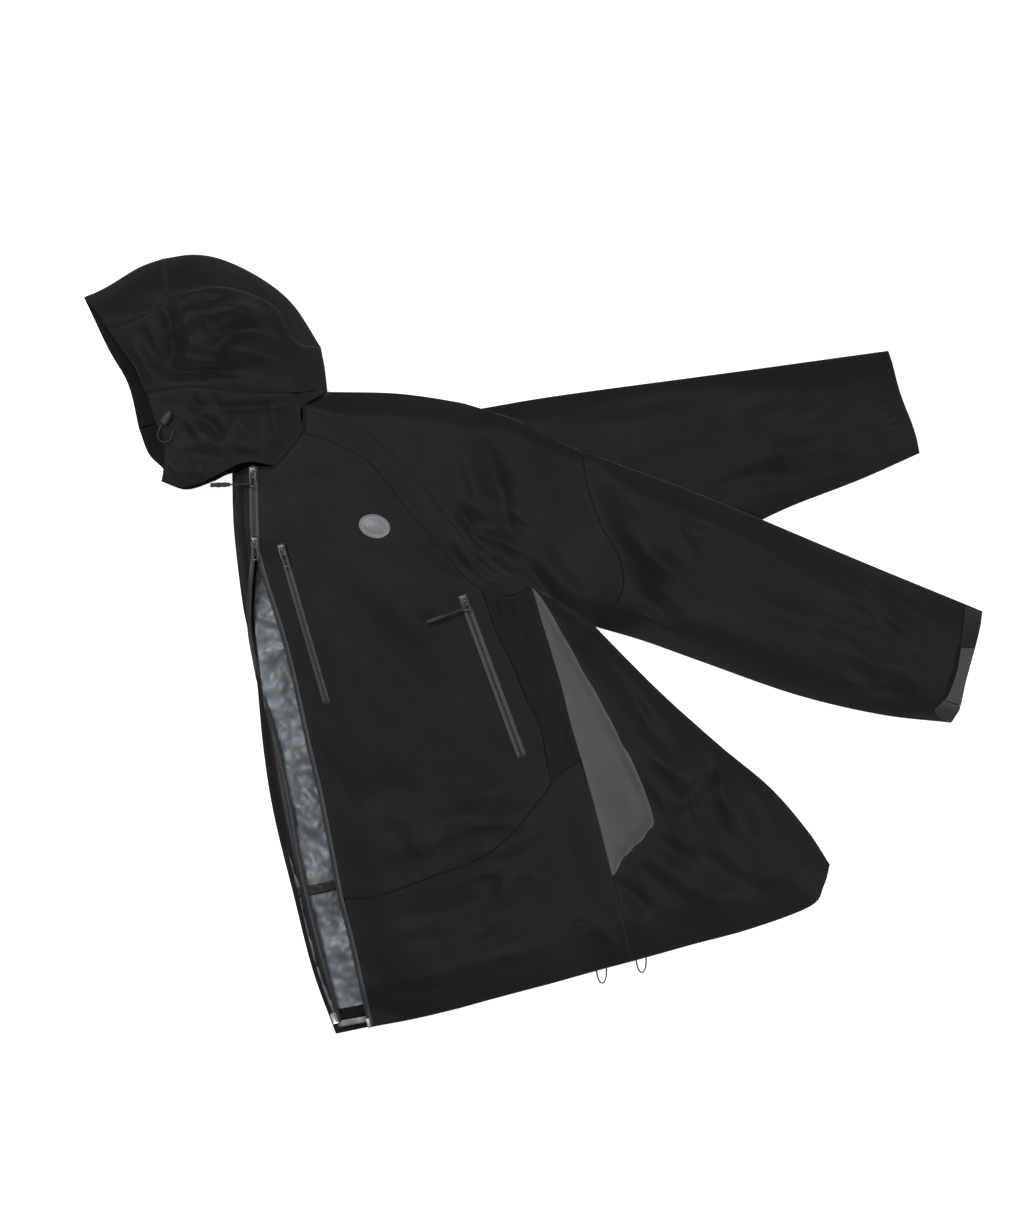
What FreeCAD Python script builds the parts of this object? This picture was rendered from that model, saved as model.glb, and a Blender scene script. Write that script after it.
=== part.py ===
"""Hardshell jacket, laid flat and seen from above: a parametric FreeCAD document.

Frame: +X to the right, +Y to the hood, +Z up from the ground the jacket lies on. Millimetres.
The origin is under the middle of the jacket. Every fabric panel is cut to its seam lines from a
hollow form: torso, collar and hood are flat hollow forms, and the sleeves are flat tubes.
"""
import FreeCAD, Part
import math
import os
from FreeCAD import Placement, Rotation, Vector

os.makedirs("parts", exist_ok=True)
doc = FreeCAD.newDocument("hardshell_jacket")

# ---------------------------------------------------------------- driving dimensions
DIMENSIONS = {
    "wall": 2.4, "lining_gauge": 1.0, "tape_gauge": 0.8, "gap": 0.4,
    "torso_top": 44, "collar_top": 60, "hood_top_height": 84,
    "near_low": 46.5, "sleeve_thick": 37, "near_cuff_low": 1, "far_low": 0.6,
    "near_root": 93, "far_root": 88, "near_width": 186, "near_cuff_width": 138, "far_width": 176,
    "far_cuff_width": 128,
    "near_length": 465.2, "far_length": 414, "cuff_band": 34,
    "chain_width": 5, "chain_height": 1.6, "slider_length": 14, "slider_width": 10,
    "flange": 1.6, "plate": 1.8, "bridge_length": 8, "bridge_width": 2.4, "bridge_height": 3.6,
    "pin_radius": 0.8, "long_pull": 22, "upper_pull": 18, "hand_pull": 13, "pull_width": 8, "pull_arm": 1.6,
    "cord_radius": 0.9, "cord_reach": 28, "grip_radius": 3, "grip_length": 23,
    "tab_gauge": 2.2, "tab_width": 20, "tab_length": 68, "strip_gauge": 1.4, "strip_length": 45,
    "badge_gauge": 0.8, "badge_long": 19, "badge_short": 14,
    "snap_radius": 7, "snap_height": 1.4, "lock_radius": 5, "lock_length": 14,
    "button_radius": 3, "button_length": 7, "button_travel": 2.5,
}
sheet = doc.addObject("Spreadsheet::Sheet", "Dimensions")
for row, (alias, value) in enumerate(DIMENSIONS.items(), start=1):
    sheet.set("A%d" % row, alias)
    sheet.set("B%d" % row, str(value))
    sheet.setAlias("B%d" % row, alias)
doc.recompute()


def size(alias):
    """A driving dimension, read back from the sheet."""
    return float(sheet.get(alias))


NODES = []

# ---------------------------------------------------------------- seam lines, each shared by its neighbours
LEFT_EDGE = [(-364, 207), (-362, 139), (-351, 46), (-337, -23), (-327, -124), (-314, -206),
             (-290, -304), (-267, -394), (-239, -471)]
RIGHT_EDGE = [(358, -266), (331, -225), (286, -173), (226, -123), (163, -67), (118, -23), (75, 21)]
UNDER_ARM = [(75, 21), (20, 75), (-30, 110), (-45, 179), (-35, 250), (-64, 285)]
SHOULDER = [(-64, 285), (-94, 293), (-165, 303), (-249, 305)]
ZIP_TOP, ZIP_PARTING, HEM_LEFT, HEM_RIGHT = (-337, 214), (-334, 112), (-232, -469), (-199, -463)
OVERLAY_START, OVERLAY_END = (-235, -306), (57, -137)
OPENING_LEFT = [ZIP_PARTING, (-340, 47), (-340, 13), (-331, -39), (-299, -155), (-277, -273),
                (-259, -351), (-236, -439), HEM_LEFT]
OPENING_RIGHT = [ZIP_PARTING, (-326, 82), (-299, -8), (-273, -124), (-259, -183), OVERLAY_START,
                 (-218, -374), HEM_RIGHT]
FACING_EDGE = [(-334, -39), (-311, -155), (-288, -273), (-265, -370), (-238, -470)]
OVERLAY_EDGE = [OVERLAY_START, (-188, -302), (-113, -275), (-58, -253), (-20, -219), (20, -169), OVERLAY_END]
SIDE_SEAM = [(-62, 68), (-44, 14), (-26, -21), (-3, -79), (11, -112), (20, -169)]
VENT_TOP, VENT_FOOT, SEAM_FOOT = (-3, 71), (94, -277), (121, -382)
VENT_LEFT = [VENT_TOP, (4, 47), (17, 4), (38, -67), OVERLAY_END, (75, -202), VENT_FOOT]
VENT_RIGHT = [VENT_TOP, (25, 27), (75, -61), (115, -137), (142, -203), (137, -224), (109, -255), VENT_FOOT]
LOW_SEAM = [VENT_FOOT, (110, -339), SEAM_FOOT]
HEM_FRONT = [HEM_RIGHT, (-124, -448), (-8, -417), SEAM_FOOT]
HEM_BACK = [SEAM_FOOT, (193, -362), (263, -343), (334, -316), (358, -266)]
NECK_YOKE_LOW, NECK_YOKE_UP, NECK_BACK = (-277, 255), (-277, 286), (-249, 305)
YOKE_LOW = [NECK_YOKE_LOW, (-241, 244), (-194, 218), (-145, 157), (-86, 87), (-62, 68)]
YOKE_UP = [NECK_YOKE_UP, (-241, 275), (-209, 261), (-147, 206), (-89, 133), (-44, 93), VENT_TOP]
COLLAR_FRONT, NECK_FRONT = (-446, 195), (-309, 214)
COLLAR_BOTTOM = [COLLAR_FRONT, (-419, 189), (-387, 199), (-347, 218), NECK_FRONT]
BRIM_TIP, BRIM_LOW, BRIM_TOP, BRIM_BACK = (-543, 419), (-509, 377), (-448, 466), (-435, 412)
RIM_FOOT, CROWN_BACK = (-463, 301), (-257, 359)
HOOD_TOP = [BRIM_TIP, (-517, 431), (-477, 455), BRIM_TOP, (-410, 471), (-373, 464), (-327, 441),
            (-290, 410), CROWN_BACK, NECK_BACK]
HOOD_BASE = [RIM_FOOT, (-410, 308), (-352, 302), NECK_BACK]
NEAR_RIM = [BRIM_LOW, (-477, 332), RIM_FOOT]
NEAR_RIM_LOW = [RIM_FOOT, (-453, 268), (-442, 243), (-443, 212), COLLAR_FRONT]
FAR_RIM = [BRIM_TIP, (-515, 359), (-490, 314), (-477, 261)]
FAR_RIM_LOW = [(-477, 261), (-465, 230), (-446, 210), COLLAR_FRONT]
BRIM_SEAM = [BRIM_TOP, (-441, 433), BRIM_BACK]
BRIM_LINE = [BRIM_LOW, (-470, 391), BRIM_BACK]
CROWN_SEAM = [BRIM_BACK, (-407, 424), (-362, 427), (-311, 406), (-285, 364), CROWN_BACK]

CHEST_ZIP = [(-304, 121), (-249, -71)]
HAND_ZIP = [(-86, 60), (-14, -135)]
NEAR_SHOULDER, NEAR_ANGLE = (80, 122), -18.5
FAR_SHOULDER, FAR_ANGLE = (50, 179), 16.0


# ---------------------------------------------------------------- building blocks
def back(run):
    """The same seam line, run the other way."""
    return run[::-1]


def run_curve(run, height=0.0):
    """One stretch of an outline: a straight line, or a smooth curve through its points."""
    points = [Vector(across, along, height) for across, along in run]
    if len(points) == 2:
        return Part.LineSegment(points[0], points[1])
    curve = Part.BSplineCurve()
    curve.interpolate(points)
    return curve


def add_outline(sketch, runs):
    for run in runs:
        sketch.addGeometry(run_curve(run), False)


def flat_piece(label, runs, thickness, height):
    """A sheet piece in a PartDesign body: its outline padded to its thickness, at its height."""
    body = doc.addObject("PartDesign::Body", label)
    sketch = body.newObject("Sketcher::SketchObject", label + "_outline")
    plane = next(item for item in body.Origin.OriginFeatures if item.Role == "XY_Plane")
    sketch.AttachmentSupport = [(plane, "")]
    sketch.MapMode = "FlatFace"
    add_outline(sketch, runs)
    pad = body.newObject("PartDesign::Pad", label + "_pad")
    pad.Profile = sketch
    pad.setExpression("Length", "Dimensions." + thickness)
    body.setExpression("Placement.Base.z", height)
    NODES.append(body)
    return body


def cutter(label, runs):
    """A tall prism over an outline, used to cut one panel out of a hollow form."""
    sketch = doc.addObject("Sketcher::SketchObject", label + "_outline")
    add_outline(sketch, runs)
    prism = doc.addObject("Part::Extrusion", label + "_prism")
    prism.Base = sketch
    prism.DirMode = "Normal"
    prism.Solid = True
    prism.setExpression("LengthFwd", "Dimensions.hood_top_height * 2")
    return prism


def panel(label, form, runs):
    """A fabric panel: the part of a hollow form inside the panel's seam lines."""
    piece = doc.addObject("Part::Common", label)
    piece.Base = form
    piece.Tool = cutter(label, runs)
    NODES.append(piece)
    return piece


def inset(points, distance):
    """A closed polygon with each side moved inwards (the points run counter-clockwise)."""
    moved = []
    for index, point in enumerate(points):
        before = Vector(*points[index - 1], 0)
        here = Vector(*point, 0)
        after = Vector(*points[(index + 1) % len(points)], 0)
        side_in = (here - before).normalize()
        side_out = (after - here).normalize()
        normal_in = Vector(-side_in.y, side_in.x, 0)
        normal_out = Vector(-side_out.y, side_out.x, 0)
        middle = normal_in + normal_out
        moved.append(here + middle * (2 * distance / (middle.Length ** 2)))
    return moved


def form(name, points, levels):
    """A hollow form open below: an outer skin less the same skin one wall further in."""
    wall = size("wall")
    skins = []
    for extra in (0.0, wall):
        wires = []
        for level, (height, draw_in) in enumerate(levels):
            lift = height - (extra if level == len(levels) - 1 else 0)
            ring = [Vector(spot.x, spot.y, lift) for spot in inset(points, draw_in + extra)]
            wires.append(Part.makePolygon(ring + ring[:1]))
        skins.append(Part.makeLoft(wires, True, True))
    feature = doc.addObject("Part::Feature", name)
    feature.Shape = skins[0].cut(skins[1])
    return feature


def stadium(width, thick, middle):
    """A flat section with half-round edges, square to the X axis."""
    radius = thick / 2
    flat = width / 2 - radius
    corners = [middle + Vector(0, side * flat, lift * radius)
               for side, lift in ((-1, -1), (1, -1), (1, 1), (-1, 1))]
    right = Part.Arc(corners[1], middle + Vector(0, flat + radius, 0), corners[2])
    left = Part.Arc(corners[3], middle + Vector(0, -flat - radius, 0), corners[0])
    sides = [Part.LineSegment(corners[0], corners[1]), right, Part.LineSegment(corners[2], corners[3]), left]
    return Part.Wire([side.toShape() for side in sides])


def sleeve_tube(name, stations, shoulder, angle):
    """A flat hollow sleeve lofted through its stations: distance, width, thickness, lowest height."""
    wall = size("wall")
    skins = []
    for extra in (0.0, wall):
        wires = [stadium(width - 2 * extra, thick - 2 * extra, Vector(distance, 0, low + thick / 2))
                 for distance, width, thick, low in stations]
        skins.append(Part.makeLoft(wires, True, True))
    feature = doc.addObject("Part::Feature", name)
    feature.Shape = skins[0].cut(skins[1])
    feature.Placement = Placement(Vector(*shoulder, 0), Rotation(Vector(0, 0, 1), angle))
    return feature


def sleeve_piece(label, tube, start, end, shoulder, angle, root=None):
    """The stretch of a sleeve tube between two distances from the shoulder.

    With a root radius, the stretch also runs back to a round end centred on the shoulder,
    so that it stays inside its armhole while it swings.
    """
    block = doc.addObject("Part::Box", label + "_block")
    block.Length = end - start
    block.setExpression("Width", "Dimensions.near_width * 2")
    block.setExpression("Height", "Dimensions.hood_top_height * 2")
    turn = Rotation(Vector(0, 0, 1), angle)
    corner = Vector(start, -size("near_width"), -size("wall"))
    block.Placement = Placement(Vector(*shoulder, 0) + turn.multVec(corner), turn)
    piece = doc.addObject("Part::Common", label)
    piece.Base = tube
    piece.Tool = block
    if root:
        drum = doc.addObject("Part::Cylinder", label + "_root")
        drum.setExpression("Radius", "Dimensions." + root)
        drum.setExpression("Height", "Dimensions.hood_top_height * 2")
        drum.Placement.Base = Vector(*shoulder, -size("wall"))
        reach = doc.addObject("Part::Fuse", label + "_reach")
        reach.Base, reach.Tool = block, drum
        piece.Tool = reach
    NODES.append(piece)
    return piece


def strip(line, left, right, corner=None):
    """The closed outline of a band along a line; its sides may turn at one corner of the line."""
    sides = []
    for offset in (left, -right):
        side = []
        for index, spot in enumerate(line):
            before = Vector(*line[max(index - 1, 0)], 0)
            after = Vector(*line[min(index + 1, len(line) - 1)], 0)
            heading = (after - before).normalize()
            side.append((spot[0] - heading.y * offset, spot[1] + heading.x * offset))
        sides.append(side)
    ends = [[sides[0][-1], sides[1][-1]], [sides[1][0], sides[0][0]]]
    if corner is None:
        return [sides[0], ends[0], back(sides[1]), ends[1]]
    first, last = slice(0, corner + 1), slice(corner, None)
    return [sides[0][first], sides[0][last], ends[0], back(sides[1][last]), back(sides[1][first]), ends[1]]


def box(name, length, width, height, corner):
    """A Part::Box whose sizes are expressions on the sheet."""
    block = doc.addObject("Part::Box", name)
    block.setExpression("Length", length)
    block.setExpression("Width", width)
    block.setExpression("Height", height)
    block.Placement.Base = Vector(*corner)
    return block


def joined(label, pieces, placement):
    """Primitives fused into one part and put in place."""
    fuse = doc.addObject("Part::MultiFuse", label)
    fuse.Shapes = pieces
    fuse.Placement = placement
    NODES.append(fuse)
    return fuse


def zip_placement(spot, line, height):
    """Local +X runs down the zip, +Y across it, and local zero is on the tape."""
    angle = math.degrees(math.atan2(line[-1][1] - line[0][1], line[-1][0] - line[0][0]))
    return Placement(Vector(*spot, height), Rotation(Vector(0, 0, 1), angle))


def zip_slider(label, placement):
    """A slider: top plate, two flanges that straddle the teeth, and a bridge with its window."""
    plate_low = size("chain_height") + size("gap")
    plate_top = plate_low + size("plate")
    half, side, bridge = size("slider_length") / 2, size("slider_width") / 2, size("bridge_length") / 2
    pieces = [
        box(label + "_plate", "Dimensions.slider_length", "Dimensions.slider_width", "Dimensions.plate",
            (-half, -side, plate_low)),
        box(label + "_flange_a", "Dimensions.slider_length", "Dimensions.flange",
            "Dimensions.chain_height", (-half, -side, size("gap"))),
        box(label + "_flange_b", "Dimensions.slider_length", "Dimensions.flange",
            "Dimensions.chain_height", (-half, side - size("flange"), size("gap"))),
    ]
    arch = box(label + "_arch", "Dimensions.bridge_length", "Dimensions.bridge_width",
               "Dimensions.bridge_height", (-bridge, -size("bridge_width") / 2, plate_top))
    window = box(label + "_window", "Dimensions.bridge_length / 2", "Dimensions.bridge_width * 2",
                 "Dimensions.pin_radius * 3", (-bridge / 2, -size("bridge_width"),
                 plate_top + size("gap") / 2))
    cut = doc.addObject("Part::Cut", label + "_bridge")
    cut.Base = arch
    cut.Tool = window
    return joined(label, pieces + [cut], placement)


def hinge_height():
    """Height of the pull's pin above the tape."""
    return (size("chain_height") + size("gap") + size("plate") + size("gap") / 2
            + size("pin_radius") * 1.5)


def zip_pull(label, placement, reach):
    """A pull: a pin through the bridge's window, two arms beside it and an end bar."""
    height, arm, width, length = hinge_height(), size("pull_arm"), size("pull_width"), size(reach)
    pin = doc.addObject("Part::Cylinder", label + "_pin")
    pin.setExpression("Radius", "Dimensions.pin_radius")
    pin.setExpression("Height", "Dimensions.pull_width")
    pin.Placement = Placement(Vector(0, width / 2, height), Rotation(Vector(1, 0, 0), 90))
    pieces = [pin]
    for name, low in (("_arm_a", -width / 2), ("_arm_b", width / 2 - arm)):
        pieces.append(box(label + name, "Dimensions." + reach, "Dimensions.pull_arm",
                          "Dimensions.pin_radius * 2", (0, low, height - size("pin_radius"))))
    pieces.append(box(label + "_end", "Dimensions.pull_arm * 2", "Dimensions.pull_width",
                      "Dimensions.pin_radius * 2",
                      (length - 2 * arm, -width / 2, height - size("pin_radius"))))
    return joined(label, pieces, placement)


def cord(label, route, placement=Placement()):
    """A cord through its route: straight runs joined by tangent arcs as large as the runs allow."""
    radius = size("cord_radius")
    points = [Vector(*point) for point in route]
    edges, start, radii = [], points[0], []
    for before, here, after in zip(points, points[1:], points[2:]):
        into, out = here - before, after - here
        turn = into.getAngle(out)
        bend = 0.45 * min(into.Length, out.Length) / math.tan(turn / 2)
        reach = bend * math.tan(turn / 2)
        first = here - Vector(into).normalize() * reach
        last = here + Vector(out).normalize() * reach
        towards = (last - here).normalize() + (first - here).normalize()
        centre = here + towards.normalize() * (bend / math.cos(turn / 2))
        middle = centre + (here - centre).normalize() * bend
        edges += [Part.LineSegment(start, first).toShape(), Part.Arc(first, middle, last).toShape()]
        radii.append(round(bend, 1))
        start = last
    edges.append(Part.LineSegment(start, points[-1]).toShape())
    path = Part.Wire(edges)
    section = Part.Wire(Part.makeCircle(radius, points[0], points[1] - points[0]))
    feature = doc.addObject("Part::Feature", label)
    feature.Shape = path.makePipeShell([section], True, False)
    feature.Placement = placement
    expected = math.pi * radius ** 2 * path.Length
    print("%s: length %.1f mm, bend radii %s, volume / expected %.3f"
          % (label, path.Length, radii, feature.Shape.Volume / expected))
    NODES.append(feature)
    return feature


def pull_cord(name, placement, reach):
    """A cord looped over the left arm of a pull, with both ends in a moulded grip."""
    along = size(reach) - 4.5
    far, middle = size("cord_reach"), hinge_height()
    cord(name + "_cord", [
        Vector(along, -far, middle + 1.3), Vector(along, -12, middle + 2.2),
            Vector(along, -3.6, middle + 2.4),
        Vector(along, -0.6, middle + 1.2), Vector(along, -0.6, middle - 1.2),
        Vector(along, -3.6, middle - 2.4), Vector(along, -12, middle - 2.2),
            Vector(along, -far, middle - 1.3)],
        placement)
    grip = Part.makeCylinder(size("grip_radius"), size("grip_length"),
                             Vector(along, -far, middle), Vector(0, -1, 0))
    feature = doc.addObject("Part::Feature", name + "_grip")
    feature.Shape = grip.makeFillet(size("grip_radius") * 0.4, [grip.Edges[0], grip.Edges[2]])
    feature.Placement = placement
    NODES.append(feature)


# ---------------------------------------------------------------- hollow forms the panels are cut from
torso_form = form(
    "torso_form",
    LEFT_EDGE + [(-210, -580), (440, -580), (440, -391)] + RIGHT_EDGE + UNDER_ARM[1:] + SHOULDER[1:]
    + [(-300, 380), (-366, 300)],
    [(size("wall"), 0), (34, 4), (size("torso_top"), 12)])
collar_form = form(
    "collar_form",
    [COLLAR_FRONT, (-419, 189), (-387, 199), (-368, 206), (-330, 100), (-150, 200), (-180, 360), (-300, 420),
     (-520, 420)],
    [(size("wall"), 0), (44, 5), (size("collar_top"), 16)])
hood_form = form(
    "hood_form",
    [(-620, 200), (-240, 200), NECK_BACK, CROWN_BACK] + back(HOOD_TOP)[2:] + [(-620, 385)],
    [(size("wall"), 0), (50, 10), (size("hood_top_height"), 34)])

# ---------------------------------------------------------------- torso
flat_piece("back_panel", [
    LEFT_EDGE, [LEFT_EDGE[-1], HEM_RIGHT], HEM_FRONT, HEM_BACK, RIGHT_EDGE, [RIGHT_EDGE[-1], UNDER_ARM[1]],
    [UNDER_ARM[1], UNDER_ARM[2]], [UNDER_ARM[2], UNDER_ARM[3]], [UNDER_ARM[3], UNDER_ARM[4]],
    [UNDER_ARM[4], UNDER_ARM[5]], SHOULDER, [NECK_BACK, NECK_YOKE_UP], [NECK_YOKE_UP, NECK_YOKE_LOW],
    [NECK_YOKE_LOW, NECK_FRONT], [NECK_FRONT, LEFT_EDGE[0]]], "wall", "0 mm")
flat_piece("body_lining", [
    [(-345, 195), (-341, 100), (-322, -20), (-296, -190), (-244, -410), (-226, -446)],
    [(-226, -446), (-110, -428)], [(-110, -428), (10, -398), (130, -364)],
    [(130, -364), (300, -312)], [(300, -312), (335, -262)],
    [(335, -262), (270, -184), (150, -84), (50, 10)], [(50, 10), (-60, 120)], [(-60, 120), (-75, 265)],
    [(-75, 265), (-240, 285)], [(-240, 285), (-345, 195)]], "lining_gauge", "Dimensions.wall")
panel("front_panel_right", torso_form, [
    [(-420, 214), ZIP_TOP], [ZIP_TOP, (-336, 140), ZIP_PARTING], OPENING_LEFT[:4],
    [OPENING_LEFT[3], FACING_EDGE[0]], FACING_EDGE, [FACING_EDGE[-1], (-420, -470)], [(-420, -470),
    (-420, 214)]])
panel("right_front_facing", torso_form, [
    [OPENING_LEFT[3], FACING_EDGE[0]], FACING_EDGE, [FACING_EDGE[-1], HEM_LEFT], back(OPENING_LEFT[3:])])
panel("front_panel_left", torso_form, [
    back(OPENING_RIGHT[:6]), [ZIP_PARTING, (-336, 140), ZIP_TOP], [ZIP_TOP, NECK_FRONT],
    [NECK_FRONT, NECK_YOKE_LOW], YOKE_LOW, SIDE_SEAM, back(OVERLAY_EDGE[:6])])
panel("side_panel_left", torso_form, [
    [(-62, 68), (-20, 60)], [(-20, 60), VENT_TOP], VENT_LEFT[:5], back(OVERLAY_EDGE[5:]), back(SIDE_SEAM)])
panel("lower_front_panel_left", torso_form, [
    OVERLAY_EDGE[:6], OVERLAY_EDGE[5:], VENT_LEFT[4:], LOW_SEAM,
    back(HEM_FRONT), back(OPENING_RIGHT[5:])])
panel("vent_gusset", torso_form, [VENT_LEFT[:5], VENT_LEFT[4:], back(VENT_RIGHT)])
panel("back_side_panel", torso_form, [
    VENT_RIGHT, LOW_SEAM, HEM_BACK, [HEM_BACK[-1], (420, -266)], [(420, -266), (90, 60)], [(90, 60),
        VENT_TOP]])
panel("yoke_band_left", torso_form, [
    YOKE_LOW, [(-62, 68), (-20, 60)], [(-20, 60), VENT_TOP], back(YOKE_UP), [NECK_YOKE_UP, NECK_YOKE_LOW]])
panel("shoulder_panel_left", torso_form, [
    YOKE_UP, [VENT_TOP, (-36, 112)], [(-36, 112), (-53, 179)], [(-53, 179), (-43, 250)], [(-43, 250),
        (-64, 340)],
    [(-64, 340), (-249, 340)], [(-249, 340), NECK_BACK], [NECK_BACK, NECK_YOKE_UP]])
flat_piece("seam_tape_band", [
    [(-285, -293), (-232, -281)], [(-232, -281), (-229, -294)], [(-229, -294), (-282, -306)],
    [(-282, -306), (-285, -293)]], "tape_gauge", "Dimensions.wall + Dimensions.lining_gauge")
flat_piece("hem_facing_back", strip([(-222, -441), (-107, -419), (12, -391), (128, -357)], 6, 6),
           "tape_gauge", "Dimensions.wall + Dimensions.lining_gauge")
flat_piece("hanger_loop", [
    [(-262, 268), (-262, 240)], [(-262, 240), (-256, 240)], [(-256, 240), (-256, 268)], [(-256, 268),
    (-262, 268)]],
    "tape_gauge", "Dimensions.wall + Dimensions.lining_gauge")

# ---------------------------------------------------------------- main zip
ON_FRONT = "Dimensions.torso_top"
ON_TAPE = "Dimensions.torso_top + Dimensions.tape_gauge"
TAPE_HALF, TEETH_HALF, SPLIT = 7, size("chain_width") / 2, -0.1
CLOSED_ZIP = [ZIP_TOP, (-336, 150), ZIP_PARTING]
LEFT_ZIP = CLOSED_ZIP[:2] + OPENING_RIGHT
RIGHT_ZIP = CLOSED_ZIP + [
    (-340, 47), (-340, 13), (-330, -39), (-303, -155), (-281, -273), (-262, -355), (-240, -440)]
flat_piece("main_zip_tape_right", strip(RIGHT_ZIP, SPLIT, TAPE_HALF, 2), "tape_gauge", ON_FRONT)
flat_piece("main_zip_tape_left", strip(LEFT_ZIP, TAPE_HALF, SPLIT, 2), "tape_gauge", ON_FRONT)
flat_piece("main_zip_teeth_right", strip(CLOSED_ZIP, SPLIT, TEETH_HALF), "chain_height", ON_TAPE)
flat_piece("main_zip_teeth_left", strip(LEFT_ZIP[:-1] + [(-202, -450)], TEETH_HALF, SPLIT, 2),
           "chain_height", ON_TAPE)
flat_piece("zip_insert_pin", strip([(-201, -453), (-199, -462)], TEETH_HALF, SPLIT), "chain_height", ON_TAPE)
flat_piece("zip_retainer_box", strip([(-240, -444), (-236, -456)], 0, TAPE_HALF), "plate", ON_FRONT)

ZIP_LEVEL = size("torso_top") + size("tape_gauge")
UPPER_SPOT, LOWER_SPOT = (-336.9, 206), (-334.6, 122)
for label, spot, reach in (("upper", UPPER_SPOT, "upper_pull"), ("lower", LOWER_SPOT, "long_pull")):
    place = zip_placement(spot, CLOSED_ZIP, ZIP_LEVEL)
    zip_slider("main_slider_" + label, place)
    zip_pull("main_pull_" + label, place, reach)
    if label == "upper":
        pull_cord("main_pull", place, reach)

# ---------------------------------------------------------------- pocket zips and their bags
for name, line, reach in (("chest", CHEST_ZIP, "long_pull"), ("hand", HAND_ZIP, "hand_pull")):
    flat_piece(name + "_zip_tape", strip(line, 6, 6), "tape_gauge", ON_FRONT)
    flat_piece(name + "_zip_teeth", strip(line, TEETH_HALF, TEETH_HALF), "chain_height", ON_TAPE)
    start, end = Vector(*line[0], 0), Vector(*line[1], 0)
    spot = start + (end - start).normalize() * (size("slider_length") / 2 + 1)
    place = zip_placement((spot.x, spot.y), line, ZIP_LEVEL)
    zip_slider(name + "_slider", place)
    zip_pull(name + "_pull", place, reach)
    if name == "hand":
        pull_cord("hand_pull", place, reach)
UNDER_FRONT = "Dimensions.torso_top - Dimensions.wall - Dimensions.gap - Dimensions.lining_gauge"
flat_piece("chest_pocket_bag", [
    [(-290, 110), (-165, 100)], [(-165, 100), (-130, -70)], [(-130, -70), (-240, -80)], [(-240, -80),
    (-290, 110)]],
    "lining_gauge", UNDER_FRONT)
flat_piece("hand_pocket_bag", [
    [(-110, 30), (-60, 30)], [(-60, 30), (-3, -140)], [(-3, -140), (-20, -200)], [(-20, -200), (-190, -200)],
    [(-190, -200), (-110, 30)]], "lining_gauge", UNDER_FRONT + " - Dimensions.lining_gauge - Dimensions.gap")

# ---------------------------------------------------------------- badge, snaps and hem cords
badge = doc.addObject("PartDesign::Body", "chest_badge")
badge_sketch = badge.newObject("Sketcher::SketchObject", "badge_outline")
badge_sketch.AttachmentSupport = [(badge.Origin.OriginFeatures[3], "")]
badge_sketch.MapMode = "FlatFace"
badge_sketch.addGeometry(Part.Ellipse(Vector(), size("badge_long"), size("badge_short")), False)
badge_pad = badge.newObject("PartDesign::Pad", "badge_pad")
badge_pad.Profile = badge_sketch
badge_pad.setExpression("Length", "Dimensions.badge_gauge")
badge.Placement = Placement(Vector(-191, 142, size("torso_top")), Rotation(Vector(0, 0, 1), -15))
NODES.append(badge)
snaps = []
for name, spot in (("snap_a", (56, -334)), ("snap_b", (-106, -371))):
    snap = doc.addObject("Part::Cylinder", name)
    snap.setExpression("Radius", "Dimensions.snap_radius")
    snap.setExpression("Height", "Dimensions.snap_height")
    snap.Placement.Base = Vector(*spot, size("torso_top"))
    snaps.append(snap)
joined("hem_snaps", snaps, Placement())
for label, left, right in (("hem_cord_loop_front", 76, 88), ("hem_cord_loop_side", 124, 136)):
    top = -392 if left < 100 else -379
    cord(label, [(left, top, 3.6), (left + 1, top - 12, 3.4), (left + 7, top - 20, 2.4),
                 (right + 1, top - 11, 3.4), (right, top + 3, 3.6)])

# ---------------------------------------------------------------- hood
flat_piece("hood_side_right", [
    HOOD_TOP, back(HOOD_BASE), [RIM_FOOT, FAR_RIM[-1]], back(FAR_RIM)], "wall", "0 mm")
panel("hood_brim", hood_form, [
    [BRIM_TIP, (-560, 520)], [(-560, 520), BRIM_TOP], BRIM_SEAM, back(BRIM_LINE), [BRIM_LOW, BRIM_TIP]])
panel("hood_crown", hood_form, [
    back(BRIM_SEAM), [BRIM_TOP, (-440, 560)], [(-440, 560), (-180, 560)], [(-180, 560), (-180, 359)],
    [(-180, 359), CROWN_BACK], back(CROWN_SEAM)])
panel("hood_side_left", hood_form, [
    BRIM_LINE, CROWN_SEAM, [CROWN_BACK, (-180, 359)], [(-180, 359), (-180, 305)], [(-180, 305), NECK_BACK],
    back(HOOD_BASE), back(NEAR_RIM)])
# ---------------------------------------------------------------- collar
flat_piece("collar_right", [
    HOOD_BASE, [NECK_BACK, NECK_YOKE_UP], [NECK_YOKE_UP, NECK_YOKE_LOW], [NECK_YOKE_LOW, NECK_FRONT],
    back(COLLAR_BOTTOM), back(FAR_RIM_LOW), [FAR_RIM_LOW[0], RIM_FOOT]], "wall", "0 mm")
panel("collar_left", collar_form, [
    HOOD_BASE, [NECK_BACK, NECK_YOKE_UP], [NECK_YOKE_UP, NECK_YOKE_LOW], [NECK_YOKE_LOW, NECK_FRONT],
    [NECK_FRONT, (-372, 216)], [(-372, 216), (-372, 160)], [(-372, 160), (-470, 160)], [(-470, 160),
    COLLAR_FRONT],
    back(NEAR_RIM_LOW)])
flat_piece("chin_guard", strip([(-442, 207), (-419, 201), (-396, 207)], 5, 3), "lining_gauge",
           "Dimensions.wall")

# ---------------------------------------------------------------- hood cord lock, its button and its cord
LOCK_LEVEL = size("collar_top") + size("gap") + size("lock_radius")
LOCK_HEADING = Vector(-0.55, -0.83, 0).normalize()
LOCK_TOP = Vector(-436, 276, LOCK_LEVEL)


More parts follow.
